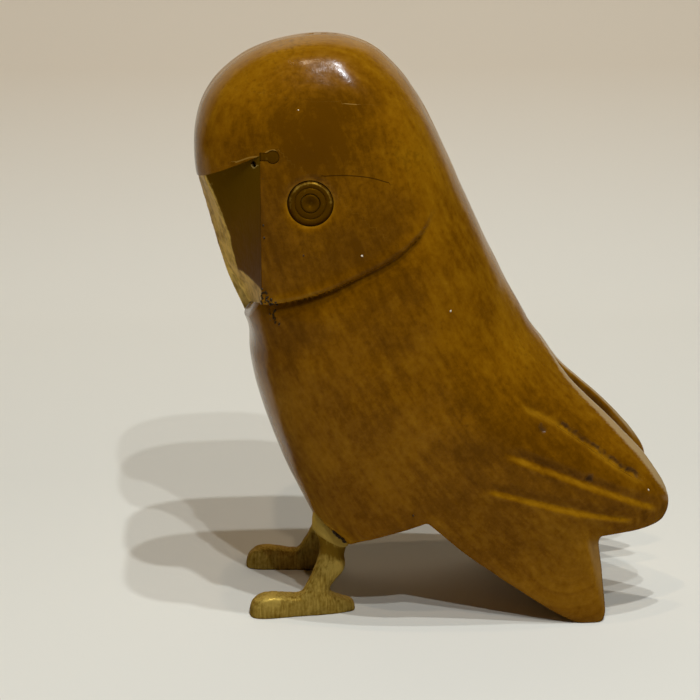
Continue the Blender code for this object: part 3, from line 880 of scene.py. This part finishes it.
def makeBeak(material):
    rings, wearAndPaintedLight = [], []
    count = beakForm["sidePoints"]
    for step in range(beakForm["levels"] + 1):
        corners = beakSection(step / beakForm["levels"])
        ring, marks = [], []
        for index in range(5):
            start, end = corners[index], corners[(index + 1) % 5]
            for place in range(count):
                ring.append(start + (end - start) * place / count)
                # the front facets are painted bright: a painted reflection
                marks.append(1.0 if index in (1, 2) else 0.0)
        rings.append(np.array(ring))
        wearAndPaintedLight.append(marks)
    rings = np.array(rings)
    fore = np.zeros((1, 5 * count, 1))
    fore[0, count // 2:4 * count - count // 2] = 0.5
    for turnCount in range(2):
        rings = (1 - fore) * rings + fore / 2 * (np.roll(rings, 1, 1) + np.roll(rings, -1, 1))
    points = rings.reshape(-1, 3)
    wearAndPaintedLight = np.array(wearAndPaintedLight).ravel()
    ahead = easeBetween(points[:, 1], letIn["seatY"] - 0.4, letIn["seatY"] - 3.0)
    points[:, 1] += beakForm["nick"] * ahead * wobble(points, 1.8, 3, 8.0)
    filed = beakForm["tipHeight"] - beakForm["tipLean"] * (points[:, 1] - letIn["seatY"]) - points[:, 2]
    filed = np.maximum(filed, 0)
    offCrest = np.clip(np.abs(points[:, 0]) / 4, 0, 1)
    inward = np.minimum(filed * beakForm["tipSlope"], beakForm["tipMost"])
    points[:, 0] -= np.sign(points[:, 0]) * inward * offCrest * ahead
    wearAndPaintedLight = np.maximum(wearAndPaintedLight, np.clip(filed / 0.8, 0, 1) * offCrest)
    around = count * 5
    faces = []
    for level in range(beakForm["levels"]):
        for place in range(around):
            after = (place + 1) % around
            faces.append((level * around + place, level * around + after,
                          (level + 1) * around + after, (level + 1) * around + place))
    faces.append(tuple(range(around)))
    last = beakForm["levels"] * around
    faces.append(tuple(range(last, last + around)))
    beak = meshPiece("beakWedge", points, faces, material)
    setAttribute(beak, "wearAndPaintedLight", wearAndPaintedLight)
    radius = beakForm["pinRadius"]
    flared = [(0, 3), (radius + 0.5, 3), (radius + 0.5, 0.1), (radius, -0.4), (radius, -2), (0, -2)]
    pin, pinFaces = lathe(flared, 32)
    outward = Vector(beakForm["pinOut"]).to_track_quat("Z", "Y").to_matrix().to_4x4()
    pin = placed(pin, Matrix.Translation(Vector(beakForm["pin"]) * mm) @ outward)
    for side, sidePoints in bothSides(pin):
        combine(beak, meshPiece("tool", sidePoints, pinFaces, None), "DIFFERENCE")
    # the lower half of the hole's rim is painted bright: a painted highlight where it catches the light
    points = pointsOf(beak)
    near = np.linalg.norm(np.abs(points) * (1, -1, 1) - np.array(beakForm["pin"]), axis=1)
    onRim = (near < radius + beakForm["pinRim"]) & (points[:, 2] < beakForm["pin"][2])
    layer = beak.data.attributes["wearAndPaintedLight"].data
    marks = np.zeros(len(points), np.float32)
    layer.foreach_get("value", marks)
    layer.foreach_set("value", np.where(onRim, 1.0, marks).astype(np.float32))
    beak.data.shade_smooth()
    beak.data.set_sharp_from_angle(angle=radians(28))
    print("beak filed")
    return beak


# brass eyes and keys

eyeForm = {
    # radius and height, from the middle out
    "cap": ((0, -1.95), (2.45, -1.95), (2.45, -0.3), (2.65, 0.0), (3.65, 0.0), (3.85, -0.12), (4.0, -0.3),
            (4.15, -0.12), (4.35, 0.0), (5.0, 0.0), (5.15, -0.05), (5.65, -0.52), (5.8, -0.8), (5.8, -3.2),
            (0, -3.2)),
    "pupil": ((0, -0.8), (0.45, -0.74), (0.8, -0.42), (1.15, -0.24), (1.5, -0.1), (1.75, 0.0), (1.95, 0.03),
              (2.15, 0.0), (2.36, -0.2), (2.36, -1.8), (0, -1.8)),
    # flat filed off toward the beak
    "flatFrom": 4.0,
    "flatSlope": 0.22,
    # painted highlight on the rim: amount, radius and width; it is brightest at the top, where the light
    # falls
    "rimHighlight": (1.0, 5.3, 0.3),
}


def makeEyes(metal):
    top = eyePlace @ Matrix.Translation((0, 0, -letIn["eyeSink"] * mm))
    back = top.inverted()
    made = []
    for name, turned in (("eyeCap", "cap"), ("pupil", "pupil")):
        points, faces = lathe(eyeForm[turned], 96)
        for point in points:
            if point.z > -1.2:
                point.z -= max(-eyeForm["flatFrom"] - point.x, 0) * eyeForm["flatSlope"]
        for side, sidePoints in bothSides(placed(points, top)):
            eye = meshPiece(name + side, sidePoints, faces, metal, 38)
            local = np.array([back @ (Vector((abs(x), y, z)) * mm) for x, y, z in pointsOf(eye)]) / mm
            # painted highlight on the rim, strongest at the top
            rim = ridge(np.hypot(local[:, 0], local[:, 1]), *eyeForm["rimHighlight"]) * (local[:, 2] > -1)
            setAttribute(eye, "wearAndPaintedLight", rim * np.clip(0.55 + local[:, 1] / 10, 0, 1))
            made.append(eye)
    print("eyes turned")
    return made


def makeKeys(metal):
    half = letIn["keyDepth"] / 2
    lifted = keyPlace @ Matrix.Translation((0, 0, -half * mm))
    points, faces = prism(keyOutline(0.0), half, lifted)
    made = []
    for side, sidePoints in bothSides(points):
        key = meshPiece("beakKey" + side, sidePoints, faces, metal)
        soft = key.modifiers.new("soft", "BEVEL")
        soft.width = letIn["keySoft"] * mm
        soft.segments = 3
        soft.limit_method = "ANGLE"
        flatten(key)
        key.data.set_sharp_from_angle(angle=radians(40))
        made.append(key)
    print("keys fitted")
    return made


# small things on the wood: pitch crumbs, dark pits, dark beads by the leg collars and paint specks

crumbs = {
    # where the lower seam of the beak was packed with pitch, on the left flank: along Y and Z
    "seam": ((-46.9, 92.4), (-46.7, 90.6), (-45.6, 89.6), (-44.8, 88.4), (-44.4, 86.8), (-44.2, 84.8)),
    "perSeam": 46,
    "spread": 0.85,
    "pits": ((-46.4, 109.9), (-46.2, 106.7), (-36.2, 102.3), (-7.9, 32.7), (-46.3, 122.0)),
    "specks": ((-37.2, 139.1), (-21.3, 102.3), (1.7, 87.2), (56.2, 35.6)),
    # dark beads behind the leg collar, along the edge of the wood
    "besideCollar": ((-28.0, 24.3), (-27.3, 23.7), (-26.7, 23.0), (-25.9, 22.5), (-25.4, 21.9)),
    # smallest and largest of each kind, and how deep its middle sits
    "sizes": {
        "pitchCrumbs": ((0.2, 0.2, 0.2), (0.56, 0.52, 0.46), 0.1),
        "darkPits": ((0.25, 0.25, 0.2), (0.4, 0.35, 0.3), 0.12),
        "paintSpecks": ((0.26, 0.26, 0.2), (0.36, 0.36, 0.3), 0.08),
        "collarBeads": ((0.6, 0.55, 0.5), (1.05, 0.95, 0.8), 0.1),
    },
    "seed": 11,
}


def scatterTree():
    # crumbs of uneven size and turn on the points of a mesh
    tree = bpy.data.node_groups.new("scatterCrumbs", "GeometryNodeTree")
    sockets = (("Points", "NodeSocketGeometry"), ("Smallest", "NodeSocketVector"),
               ("Largest", "NodeSocketVector"), ("Seed", "NodeSocketInt"), ("Finish", "NodeSocketMaterial"))
    for name, kind in sockets:
        tree.interface.new_socket(name, in_out="INPUT", socket_type=kind)
    tree.interface.new_socket("Crumbs", in_out="OUTPUT", socket_type="NodeSocketGeometry")
    given = addNode(tree, "NodeGroupInput").outputs
    size = addNode(tree, "FunctionNodeRandomValue", {0: given["Smallest"], 1: given["Largest"],
                                                     "Seed": given["Seed"]}, data_type="FLOAT_VECTOR")
    turn = addNode(tree, "FunctionNodeRandomValue", {1: (2 * pi, 2 * pi, 2 * pi), "Seed": given["Seed"]},
                   data_type="FLOAT_VECTOR")
    grain = addNode(tree, "GeometryNodeMeshIcoSphere", {"Radius": 1.0, "Subdivisions": 2})
    dots = addNode(tree, "GeometryNodeMeshToPoints", {"Mesh": given["Points"]})
    spread = addNode(tree, "GeometryNodeInstanceOnPoints", {
        "Points": dots.outputs[0], "Instance": grain.outputs[0], "Rotation": turn.outputs[0],
        "Scale": size.outputs[0]})
    whole = addNode(tree, "GeometryNodeRealizeInstances", {"Geometry": spread.outputs[0]})
    smooth = addNode(tree, "GeometryNodeSetShadeSmooth", {"Geometry": whole.outputs[0]})
    finish = addNode(tree, "GeometryNodeSetMaterial", {"Geometry": smooth.outputs[0],
                                                       "Material": given["Finish"]})
    addNode(tree, "NodeGroupOutput", {"Crumbs": finish.outputs[0]})
    return tree


def onSkin(places, sink):
    # points just under the carved skin of the left flank
    points = np.array([(flankX(y, z), y, z) for y, z in places])
    points = settleOn(points, woodField)
    depth, rawAndShaded = knifeDepth(points)
    return points - normalsOf(points, woodField) * (depth + sink)[:, None]


def scatter(name, tree, places, material, mirrored):
    smallest, largest, sink = crumbs["sizes"][name]
    points = onSkin(places, sink)
    if mirrored:
        points = np.vstack((points, points * np.array((-1, 1, 1))))
    mesh = bpy.data.meshes.new(name)
    mesh.from_pydata([tuple(point * mm) for point in points], [], [])
    piece = bpy.data.objects.new(name, mesh)
    bpy.context.scene.collection.objects.link(piece)
    modifier = piece.modifiers.new("scatter", "NODES")
    modifier.node_group = tree
    values = {"Smallest": smallest, "Largest": largest, "Seed": crumbs["seed"], "Finish": material}
    for item in tree.interface.items_tree:
        if item.name in values:
            value = values[item.name]
            modifier[item.identifier] = [v * mm for v in value] if isinstance(value, tuple) else value
    flatten(piece)
    return piece


def makeCrumbs(pitch, paint):
    draw = np.random.default_rng(crumbs["seed"])
    line = denseRows(crumbs["seam"], 12)
    picks = line[draw.integers(0, len(line), crumbs["perSeam"])]
    picks = picks + draw.normal(0, crumbs["spread"], picks.shape)
    picks[:, 0] = np.maximum(picks[:, 0], letIn["seatY"] + 0.1)
    tree = scatterTree()
    made = [scatter("pitchCrumbs", tree, picks, pitch, True),
            scatter("darkPits", tree, crumbs["pits"], pitch, False),
            scatter("paintSpecks", tree, crumbs["specks"], paint, False),
            scatter("collarBeads", tree, crumbs["besideCollar"], pitch, True)]
    print("crumbs scattered")
    return made


# finishes

woodLook = {
    # size in mm, detail and roughness of each pattern
    "cloud": (22.0, 3.0, 0.5),
    "stroke": (2.0, 5.0, 0.55),
    "mottle": (1.8, 6.0, 0.7),
    "speck": (1.3, 3.0, 0.5),
    "fine": (0.7, 3.0, 0.5),
    # how much strokes and mottle count beside the clouds, and what the painted sheen and stain patches add
    "strokeShare": 0.95,
    "sheenAndStainShare": 0.6,
    "base": "#6f4502",
    # coats on the base: what each follows, where it starts, where it is full, its share there and its colour;
    # the last three are lines, by the distance from the middle in mm
    "coats": (
        # the two coats on the sheen-and-stain value darken and gild the wood by stain patches and painted
        # sheen; the cut coat darkens raw chips and paints shade in the torn groove; the pale coat on the rear
        # edges is a painted reflection
        ("cloud", 0.38, 0.64, 1.0, "#7b4e03"), ("toneAndPaintedLight", 1.5, 1.13, 0.6, "#482900"),
        ("toneAndPaintedLight", 1.48, 2.02, 0.85, "#92640a"), ("darkSpeck", 1.17, 1.35, 0.35, "#482900"),
        ("rawAndShadedCut", 0.0, 1.0, 0.75, "#33200a"), ("rearSheen", 0.0, 1.0, 1.0, "#a68a5e"),
        ("crack", 0.2, 0.08, 0.75, "#2a1701"), ("scribed", 0.24, 0.096, 0.5, "#a98238"),
        ("scratch", 0.14, 0.056, 0.5, "#b08a45"),
    ),
    "rough": (0.15, 0.24),
    "rawRough": 0.4,
    "relief": 0.25,
}


def varnishedWood():
    # stained hardwood, brushed and rubbed, under thin varnish: brown, darker and golden by stain patches and
    # painted sheen, with painted shade in the torn cut and a painted reflection on the rear edges, glossy
    material, tree, shader = newMaterial("varnishedStainedHardwood", IOR=1.5, Specular_IOR_Level=0.3)
    place = addNode(tree, "ShaderNodeTexCoord").outputs["Object"]
    marks = {name: addNode(tree, "ShaderNodeAttribute", attribute_name=name).outputs
             for name in ("brushPlace", "paintedSheenAndStain", "rawAndShadedCut", "fineLines", "rearSheen")}
    grain = {}
    for name in ("cloud", "stroke", "mottle", "speck", "fine"):
        size, detail, rough = woodLook[name]
        vector = marks["brushPlace"]["Vector"] if name == "stroke" else place
        grain[name] = addNode(tree, "ShaderNodeTexNoise", {
            "Vector": vector, "Scale": perSize(size), "Detail": detail, "Roughness": rough}).outputs["Fac"]
    both = addNode(tree, "ShaderNodeMath", {0: grain["stroke"], 1: grain["mottle"]}, operation="ADD")
    drift = addNode(tree, "ShaderNodeMath", {0: both.outputs[0], 1: woodLook["strokeShare"],
                                             2: grain["cloud"]}, operation="MULTIPLY_ADD")
    toneAndPaintedLight = addNode(tree, "ShaderNodeMath", {0: marks["paintedSheenAndStain"]["Fac"], 1: woodLook["sheenAndStainShare"],
                                            2: drift.outputs[0]}, operation="MULTIPLY_ADD")
    dark = addNode(tree, "ShaderNodeMath", {0: grain["speck"], 1: grain["cloud"]}, operation="ADD")
    follow = {"cloud": grain["cloud"], "toneAndPaintedLight": toneAndPaintedLight.outputs[0], "darkSpeck": dark.outputs[0],
              "rawAndShadedCut": marks["rawAndShadedCut"]["Fac"], "rearSheen": marks["rearSheen"]["Fac"]}
    split = addNode(tree, "ShaderNodeSeparateXYZ", {0: marks["fineLines"]["Vector"]}).outputs
    for name, signed in zip(("crack", "scribed", "scratch"), split):
        follow[name] = addNode(tree, "ShaderNodeMath", {0: signed}, operation="ABSOLUTE").outputs[0]
    colour = linear(woodLook["base"])
    for name, start, full, most, tone in woodLook["coats"]:
        share = addNode(tree, "ShaderNodeMapRange", {"Value": follow[name], "From Min": start,
                                                     "From Max": full, "To Max": most}).outputs[0]
        colour = addNode(tree, "ShaderNodeMix", {0: share, 6: colour, 7: linear(tone)},
                         data_type="RGBA").outputs[2]
    tree.links.new(colour, shader.inputs["Base Color"])
    smoothest, roughest = woodLook["rough"]
    gloss = addNode(tree, "ShaderNodeMapRange", {"Value": grain["mottle"], "From Min": 0.35, "From Max": 0.7,
                                                 "To Min": smoothest, "To Max": roughest}).outputs[0]
    matt = addNode(tree, "ShaderNodeMath", {0: marks["rawAndShadedCut"]["Fac"], 1: woodLook["rawRough"], 2: gloss},
                   operation="MULTIPLY_ADD").outputs[0]
    tree.links.new(matt, shader.inputs["Roughness"])
    height = addNode(tree, "ShaderNodeMath", {0: grain["stroke"], 1: 0.6, 2: grain["fine"]},
                     operation="MULTIPLY_ADD").outputs[0]
    relief = addNode(tree, "ShaderNodeBump", {"Height": height, "Strength": 0.1,
                                              "Distance": woodLook["relief"] * mm}).outputs[0]
    tree.links.new(relief, shader.inputs["Normal"])
    return material


# share of metal, bright and dark tone, blotch size, how much stays dark, roughness, and the file strokes:
# their share of the tone, width, lean and relief
beakLook = {"metal": 0.4, "bright": "#ddbb6a", "dark": "#6e4e06", "blotch": 3.0, "brightFrom": 0.66,
            "rough": (0.3, 0.46), "strokeShare": 0.3, "stroke": 0.7, "strokeTurn": 20.0, "relief": 0.4}
eyeLook = {"metal": 0.4, "bright": "#b08a34", "dark": "#5e3c02", "blotch": 1.6, "brightFrom": 0.62,
           "rough": (0.32, 0.45), "strokeShare": 0.2, "stroke": 0.6, "strokeTurn": 70.0, "relief": 0.2}
castLook = {"metal": 0.45, "bright": "#c9a850", "dark": "#86651c", "blotch": 1.3, "brightFrom": 0.34,
            "rough": (0.36, 0.52), "strokeShare": 0.55, "stroke": 0.55, "strokeTurn": -18.0, "relief": 1.0}
brassEdge = "#8a6a20"  # what old brass mirrors at a glance, so that its edges stay brown


def agedBrass(name, look):
    # brass that was filed and has gone olive brown, brighter where filing wore it and where highlights are
    # painted, darker where shade is painted
    material, tree, shader = newMaterial(name, Metallic=look["metal"], Specular_IOR_Level=0.02,
                                         Specular_Tint=linear(brassEdge))
    place = addNode(tree, "ShaderNodeTexCoord").outputs["Object"]
    blotch = addNode(tree, "ShaderNodeTexNoise", {"Vector": place, "Scale": perSize(look["blotch"]),
                                                  "Detail": 6.0, "Roughness": 0.6}).outputs["Fac"]
    wearAndPaintedLight = addNode(tree, "ShaderNodeAttribute", attribute_name="wearAndPaintedLight").outputs["Fac"]
    lean = (radians(look["strokeTurn"]), 0, 0)
    drawnOut = addNode(tree, "ShaderNodeMapping", {"Vector": place, "Rotation": lean, "Scale": (1, 1, 0.1)})
    strokes = addNode(tree, "ShaderNodeTexNoise", {"Vector": drawnOut.outputs[0], "Detail": 3.0,
                                                   "Scale": perSize(look["stroke"])}).outputs["Fac"]
    filed = addNode(tree, "ShaderNodeMix", {0: look["strokeShare"], 2: blotch, 3: strokes}).outputs[0]
    brightening = addNode(tree, "ShaderNodeMath", {0: wearAndPaintedLight, 1: 0.4, 2: filed},
                    operation="MULTIPLY_ADD").outputs[0]
    share = addNode(tree, "ShaderNodeMapRange", {"Value": brightening, "From Min": look["brightFrom"],
                                                 "From Max": look["brightFrom"] + 0.3}).outputs[0]
    colour = addNode(tree, "ShaderNodeMix", {0: share, 6: linear(look["dark"]), 7: linear(look["bright"])},
                     data_type="RGBA").outputs[2]
    tree.links.new(colour, shader.inputs["Base Color"])
    smoothest, roughest = look["rough"]
    rough = addNode(tree, "ShaderNodeMapRange", {"Value": brightening, "From Min": 0.3, "From Max": 0.9,
                                                 "To Min": roughest, "To Max": smoothest}).outputs[0]
    tree.links.new(rough, shader.inputs["Roughness"])
    relief = addNode(tree, "ShaderNodeBump", {"Height": strokes, "Strength": look["relief"],
                                              "Distance": 0.15 * mm}).outputs[0]
    tree.links.new(relief, shader.inputs["Normal"])
    return material


# two tones, size and detail of the grain, roughness
pitchLook = {"dark": "#1d1103", "light": "#4a3208", "grain": 0.8, "detail": 3.0, "rough": 0.45}
paintLook = {"dark": "#c9b48a", "light": "#efe6d0", "grain": 0.4, "detail": 2.0, "rough": 0.7}


def driedDrop(name, look):
    # pitch gone hard is black-brown and a little glossy, dried wall paint is matt off-white
    material, tree, shader = newMaterial(name, Roughness=look["rough"])
    place = addNode(tree, "ShaderNodeTexCoord").outputs["Object"]
    grain = addNode(tree, "ShaderNodeTexNoise", {"Vector": place, "Scale": perSize(look["grain"]),
                                                 "Detail": look["detail"]}).outputs["Fac"]
    colour = addNode(tree, "ShaderNodeMix", {0: grain, 6: linear(look["dark"]), 7: linear(look["light"])},
                     data_type="RGBA").outputs[2]
    tree.links.new(colour, shader.inputs["Base Color"])
    return material


# build

eyeBrass = agedBrass("darkTurnedBrass", eyeLook)
body = carveBody(varnishedWood())
beak = makeBeak(agedBrass("filedBeakBrass", beakLook))
eyes = makeEyes(eyeBrass)
keys = makeKeys(eyeBrass)
legs = castLegs(agedBrass("filedCastBrass", castLook))
extras = makeCrumbs(driedDrop("hardPitch", pitchLook), driedDrop("driedPaint", paintLook))

for piece, node, finish in (
        (body, "body", "varnished_wood"), (beak, "beak", "polished_brass"),
        (eyes[0], "eye_cap_left", "polished_brass"), (eyes[1], "eye_cap_right", "polished_brass"),
        (eyes[2], "pupil_left", "polished_brass"), (eyes[3], "pupil_right", "polished_brass"),
        (keys[0], "beak_key_left", "polished_brass"), (keys[1], "beak_key_right", "polished_brass"),
        (legs[0], "leg_left", "cast_brass"), (legs[1], "leg_right", "cast_brass")):
    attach(piece, "root")
    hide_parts(node)
for piece in extras:
    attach(piece, "root")


# stage: seamless pale paper, small ceiling lamps and a dim room

stageLook = {
    "floorFront": 0.9,
    "floorBack": -0.28,
    "bend": 0.25,
    "bendSteps": 16,
    "wallTop": 0.9,
    "halfWidth": 1.4,
    "paper": "#dfdcd1",
    # tone away from the camera and up the wall: axis, where it starts, where it is full
    "paperFar": ("X", -0.1, -0.3, "#ece8dc"),
    "paperHigh": ("Z", 0.0, 0.08, "#dbcdb8"),
    # the lit table as gloss on the owl mirrors it: middle and half size; beyond it the room is dark
    "tableMiddle": (-0.32, -0.36, 0.1),
    "tableHalf": (0.29, 0.84, 0.57),
    "room": "#3a3026",
    "roomStrength": 0.3,
    "lampHeight": 1.0,
    "lampSize": 0.02,
    # a row of small lamps overhead: run per unit of height along X and Y, watts, tone,
    # and whether gloss mirrors it
    "lamps": ((0.82, 0.143, 3.1, "#f2f9ff", False), (0.64, 0.13, 3.0, "#f2f9ff", False),
              (0.306, 0.1, 3.1, "#f2f9ff", True), (0.12, 0.09, 2.2, "#f2f9ff", True),
              (0.44, -0.21, 1.0, "#ffe6c8", False), (0.02, -0.1, 0.6, "#ffe6c8", True)),
}


def mattPaper():
    # matt drawing paper: no gloss, a little warmer up the wall
    material, tree, shader = newMaterial("mattPaper", Roughness=0.9, Specular_IOR_Level=0.1)
    place = addNode(tree, "ShaderNodeTexCoord").outputs["Object"]
    spot = addNode(tree, "ShaderNodeSeparateXYZ", {0: place}).outputs
    colour = linear(stageLook["paper"])
    for axis, start, full, tone in (stageLook["paperFar"], stageLook["paperHigh"]):
        share = addNode(tree, "ShaderNodeMapRange", {"Value": spot[axis], "From Min": start,
                                                     "From Max": full}).outputs[0]
        colour = addNode(tree, "ShaderNodeMix", {0: share, 6: colour, 7: linear(tone)},
                         data_type="RGBA").outputs[2]
    away = addNode(tree, "ShaderNodeVectorMath", {0: place, 1: stageLook["tableMiddle"]},
                   operation="SUBTRACT")
    shares = addNode(tree, "ShaderNodeVectorMath", {0: away.outputs[0], 1: stageLook["tableHalf"]},
                     operation="DIVIDE")
    sides = addNode(tree, "ShaderNodeVectorMath", {0: shares.outputs[0]}, operation="ABSOLUTE")
    split = addNode(tree, "ShaderNodeSeparateXYZ", {0: sides.outputs[0]}).outputs
    across = addNode(tree, "ShaderNodeMath", {0: split[0], 1: split[1]}, operation="MAXIMUM").outputs[0]
    furthest = addNode(tree, "ShaderNodeMath", {0: across, 1: split[2]}, operation="MAXIMUM").outputs[0]
    beyond = addNode(tree, "ShaderNodeMath", {0: furthest, 1: 1.0}, operation="GREATER_THAN").outputs[0]
    mirrored = addNode(tree, "ShaderNodeLightPath").outputs["Is Glossy Ray"]
    dark = addNode(tree, "ShaderNodeMath", {0: beyond, 1: mirrored}, operation="MULTIPLY").outputs[0]
    shown = addNode(tree, "ShaderNodeMix", {0: dark, 6: colour, 7: linear(stageLook["room"])},
                    data_type="RGBA").outputs[2]
    tree.links.new(shown, shader.inputs["Base Color"])
    return material


def layPaper():
    # floor that bends up into the wall
    back, radius, half = stageLook["floorBack"], stageLook["bend"], stageLook["halfWidth"]
    profile = [(stageLook["floorFront"], 0.0), (back, 0.0)]
    for step in range(1, stageLook["bendSteps"] + 1):
        angle = pi / 2 * step / stageLook["bendSteps"]
        profile.append((back - radius * sin(angle), radius * (1 - cos(angle))))
    profile.append((back - radius, stageLook["wallTop"]))
    verts = [(x, y, z) for x, z in profile for y in (-half, half)]
    faces = [(2 * i, 2 * i + 1, 2 * i + 3, 2 * i + 2) for i in range(len(profile) - 1)]
    mesh = bpy.data.meshes.new("paperSweep")
    mesh.from_pydata(verts, [], faces)
    mesh.shade_smooth()
    mesh.materials.append(mattPaper())
    sweep = bpy.data.objects.new("paperSweep", mesh)
    bpy.context.scene.collection.objects.link(sweep)


def dimRoom():
    world = bpy.data.worlds.new("dimRoom")
    world.use_nodes = True
    air = world.node_tree
    seen = addNode(air, "ShaderNodeLightPath").outputs["Is Camera Ray"]
    dim = [channel * stageLook["roomStrength"] for channel in linear(stageLook["room"])]
    tone = addNode(air, "ShaderNodeMix", {0: seen, 6: dim, 7: linear(stageLook["paperHigh"][3])},
                   data_type="RGBA").outputs[2]
    air.links.new(tone, air.nodes["Background"].inputs["Color"])
    bpy.context.scene.world = world


def hangLamps():
    up = stageLook["lampHeight"]
    for number, (runX, runY, watts, tone, mirrored) in enumerate(stageLook["lamps"]):
        place = Vector((runX * up, runY * up, up))
        lamp = bpy.data.lights.new(f"ceilingLamp{number}", "AREA")
        lamp.shape = "DISK"
        lamp.size = stageLook["lampSize"]
        lamp.energy = watts
        lamp.color = linear(tone)[:3]
        holder = bpy.data.objects.new(lamp.name, lamp)
        holder.location = place
        holder.rotation_euler = place.to_track_quat("Z", "Y").to_euler()
        holder.visible_glossy = mirrored
        bpy.context.scene.collection.objects.link(holder)
    print("lamps hung:", len(stageLook["lamps"]))


cameraSetup = {
    "rise": 16.0,
    "turn": 3.0,
    "distance": 0.56,
    "target": (0.0, -0.02295, 0.0695),
    "lens": 105.7,
    "sensor": 36.0,
}


def makeCamera():
    rise, turn = radians(cameraSetup["rise"]), radians(cameraSetup["turn"])
    away = Vector((cos(rise) * cos(turn), -cos(rise) * sin(turn), sin(rise)))
    data = bpy.data.cameras.new("camera")
    data.lens = cameraSetup["lens"]
    data.sensor_width = cameraSetup["sensor"]
    camera = bpy.data.objects.new("camera", data)
    camera.location = Vector(cameraSetup["target"]) + away * cameraSetup["distance"]
    camera.rotation_euler = away.to_track_quat("Z", "Y").to_euler()
    bpy.context.scene.collection.objects.link(camera)
    bpy.context.scene.camera = camera


layPaper()
dimRoom()
hangLamps()
makeCamera()
bpy.context.scene.view_settings.view_transform = "Standard"
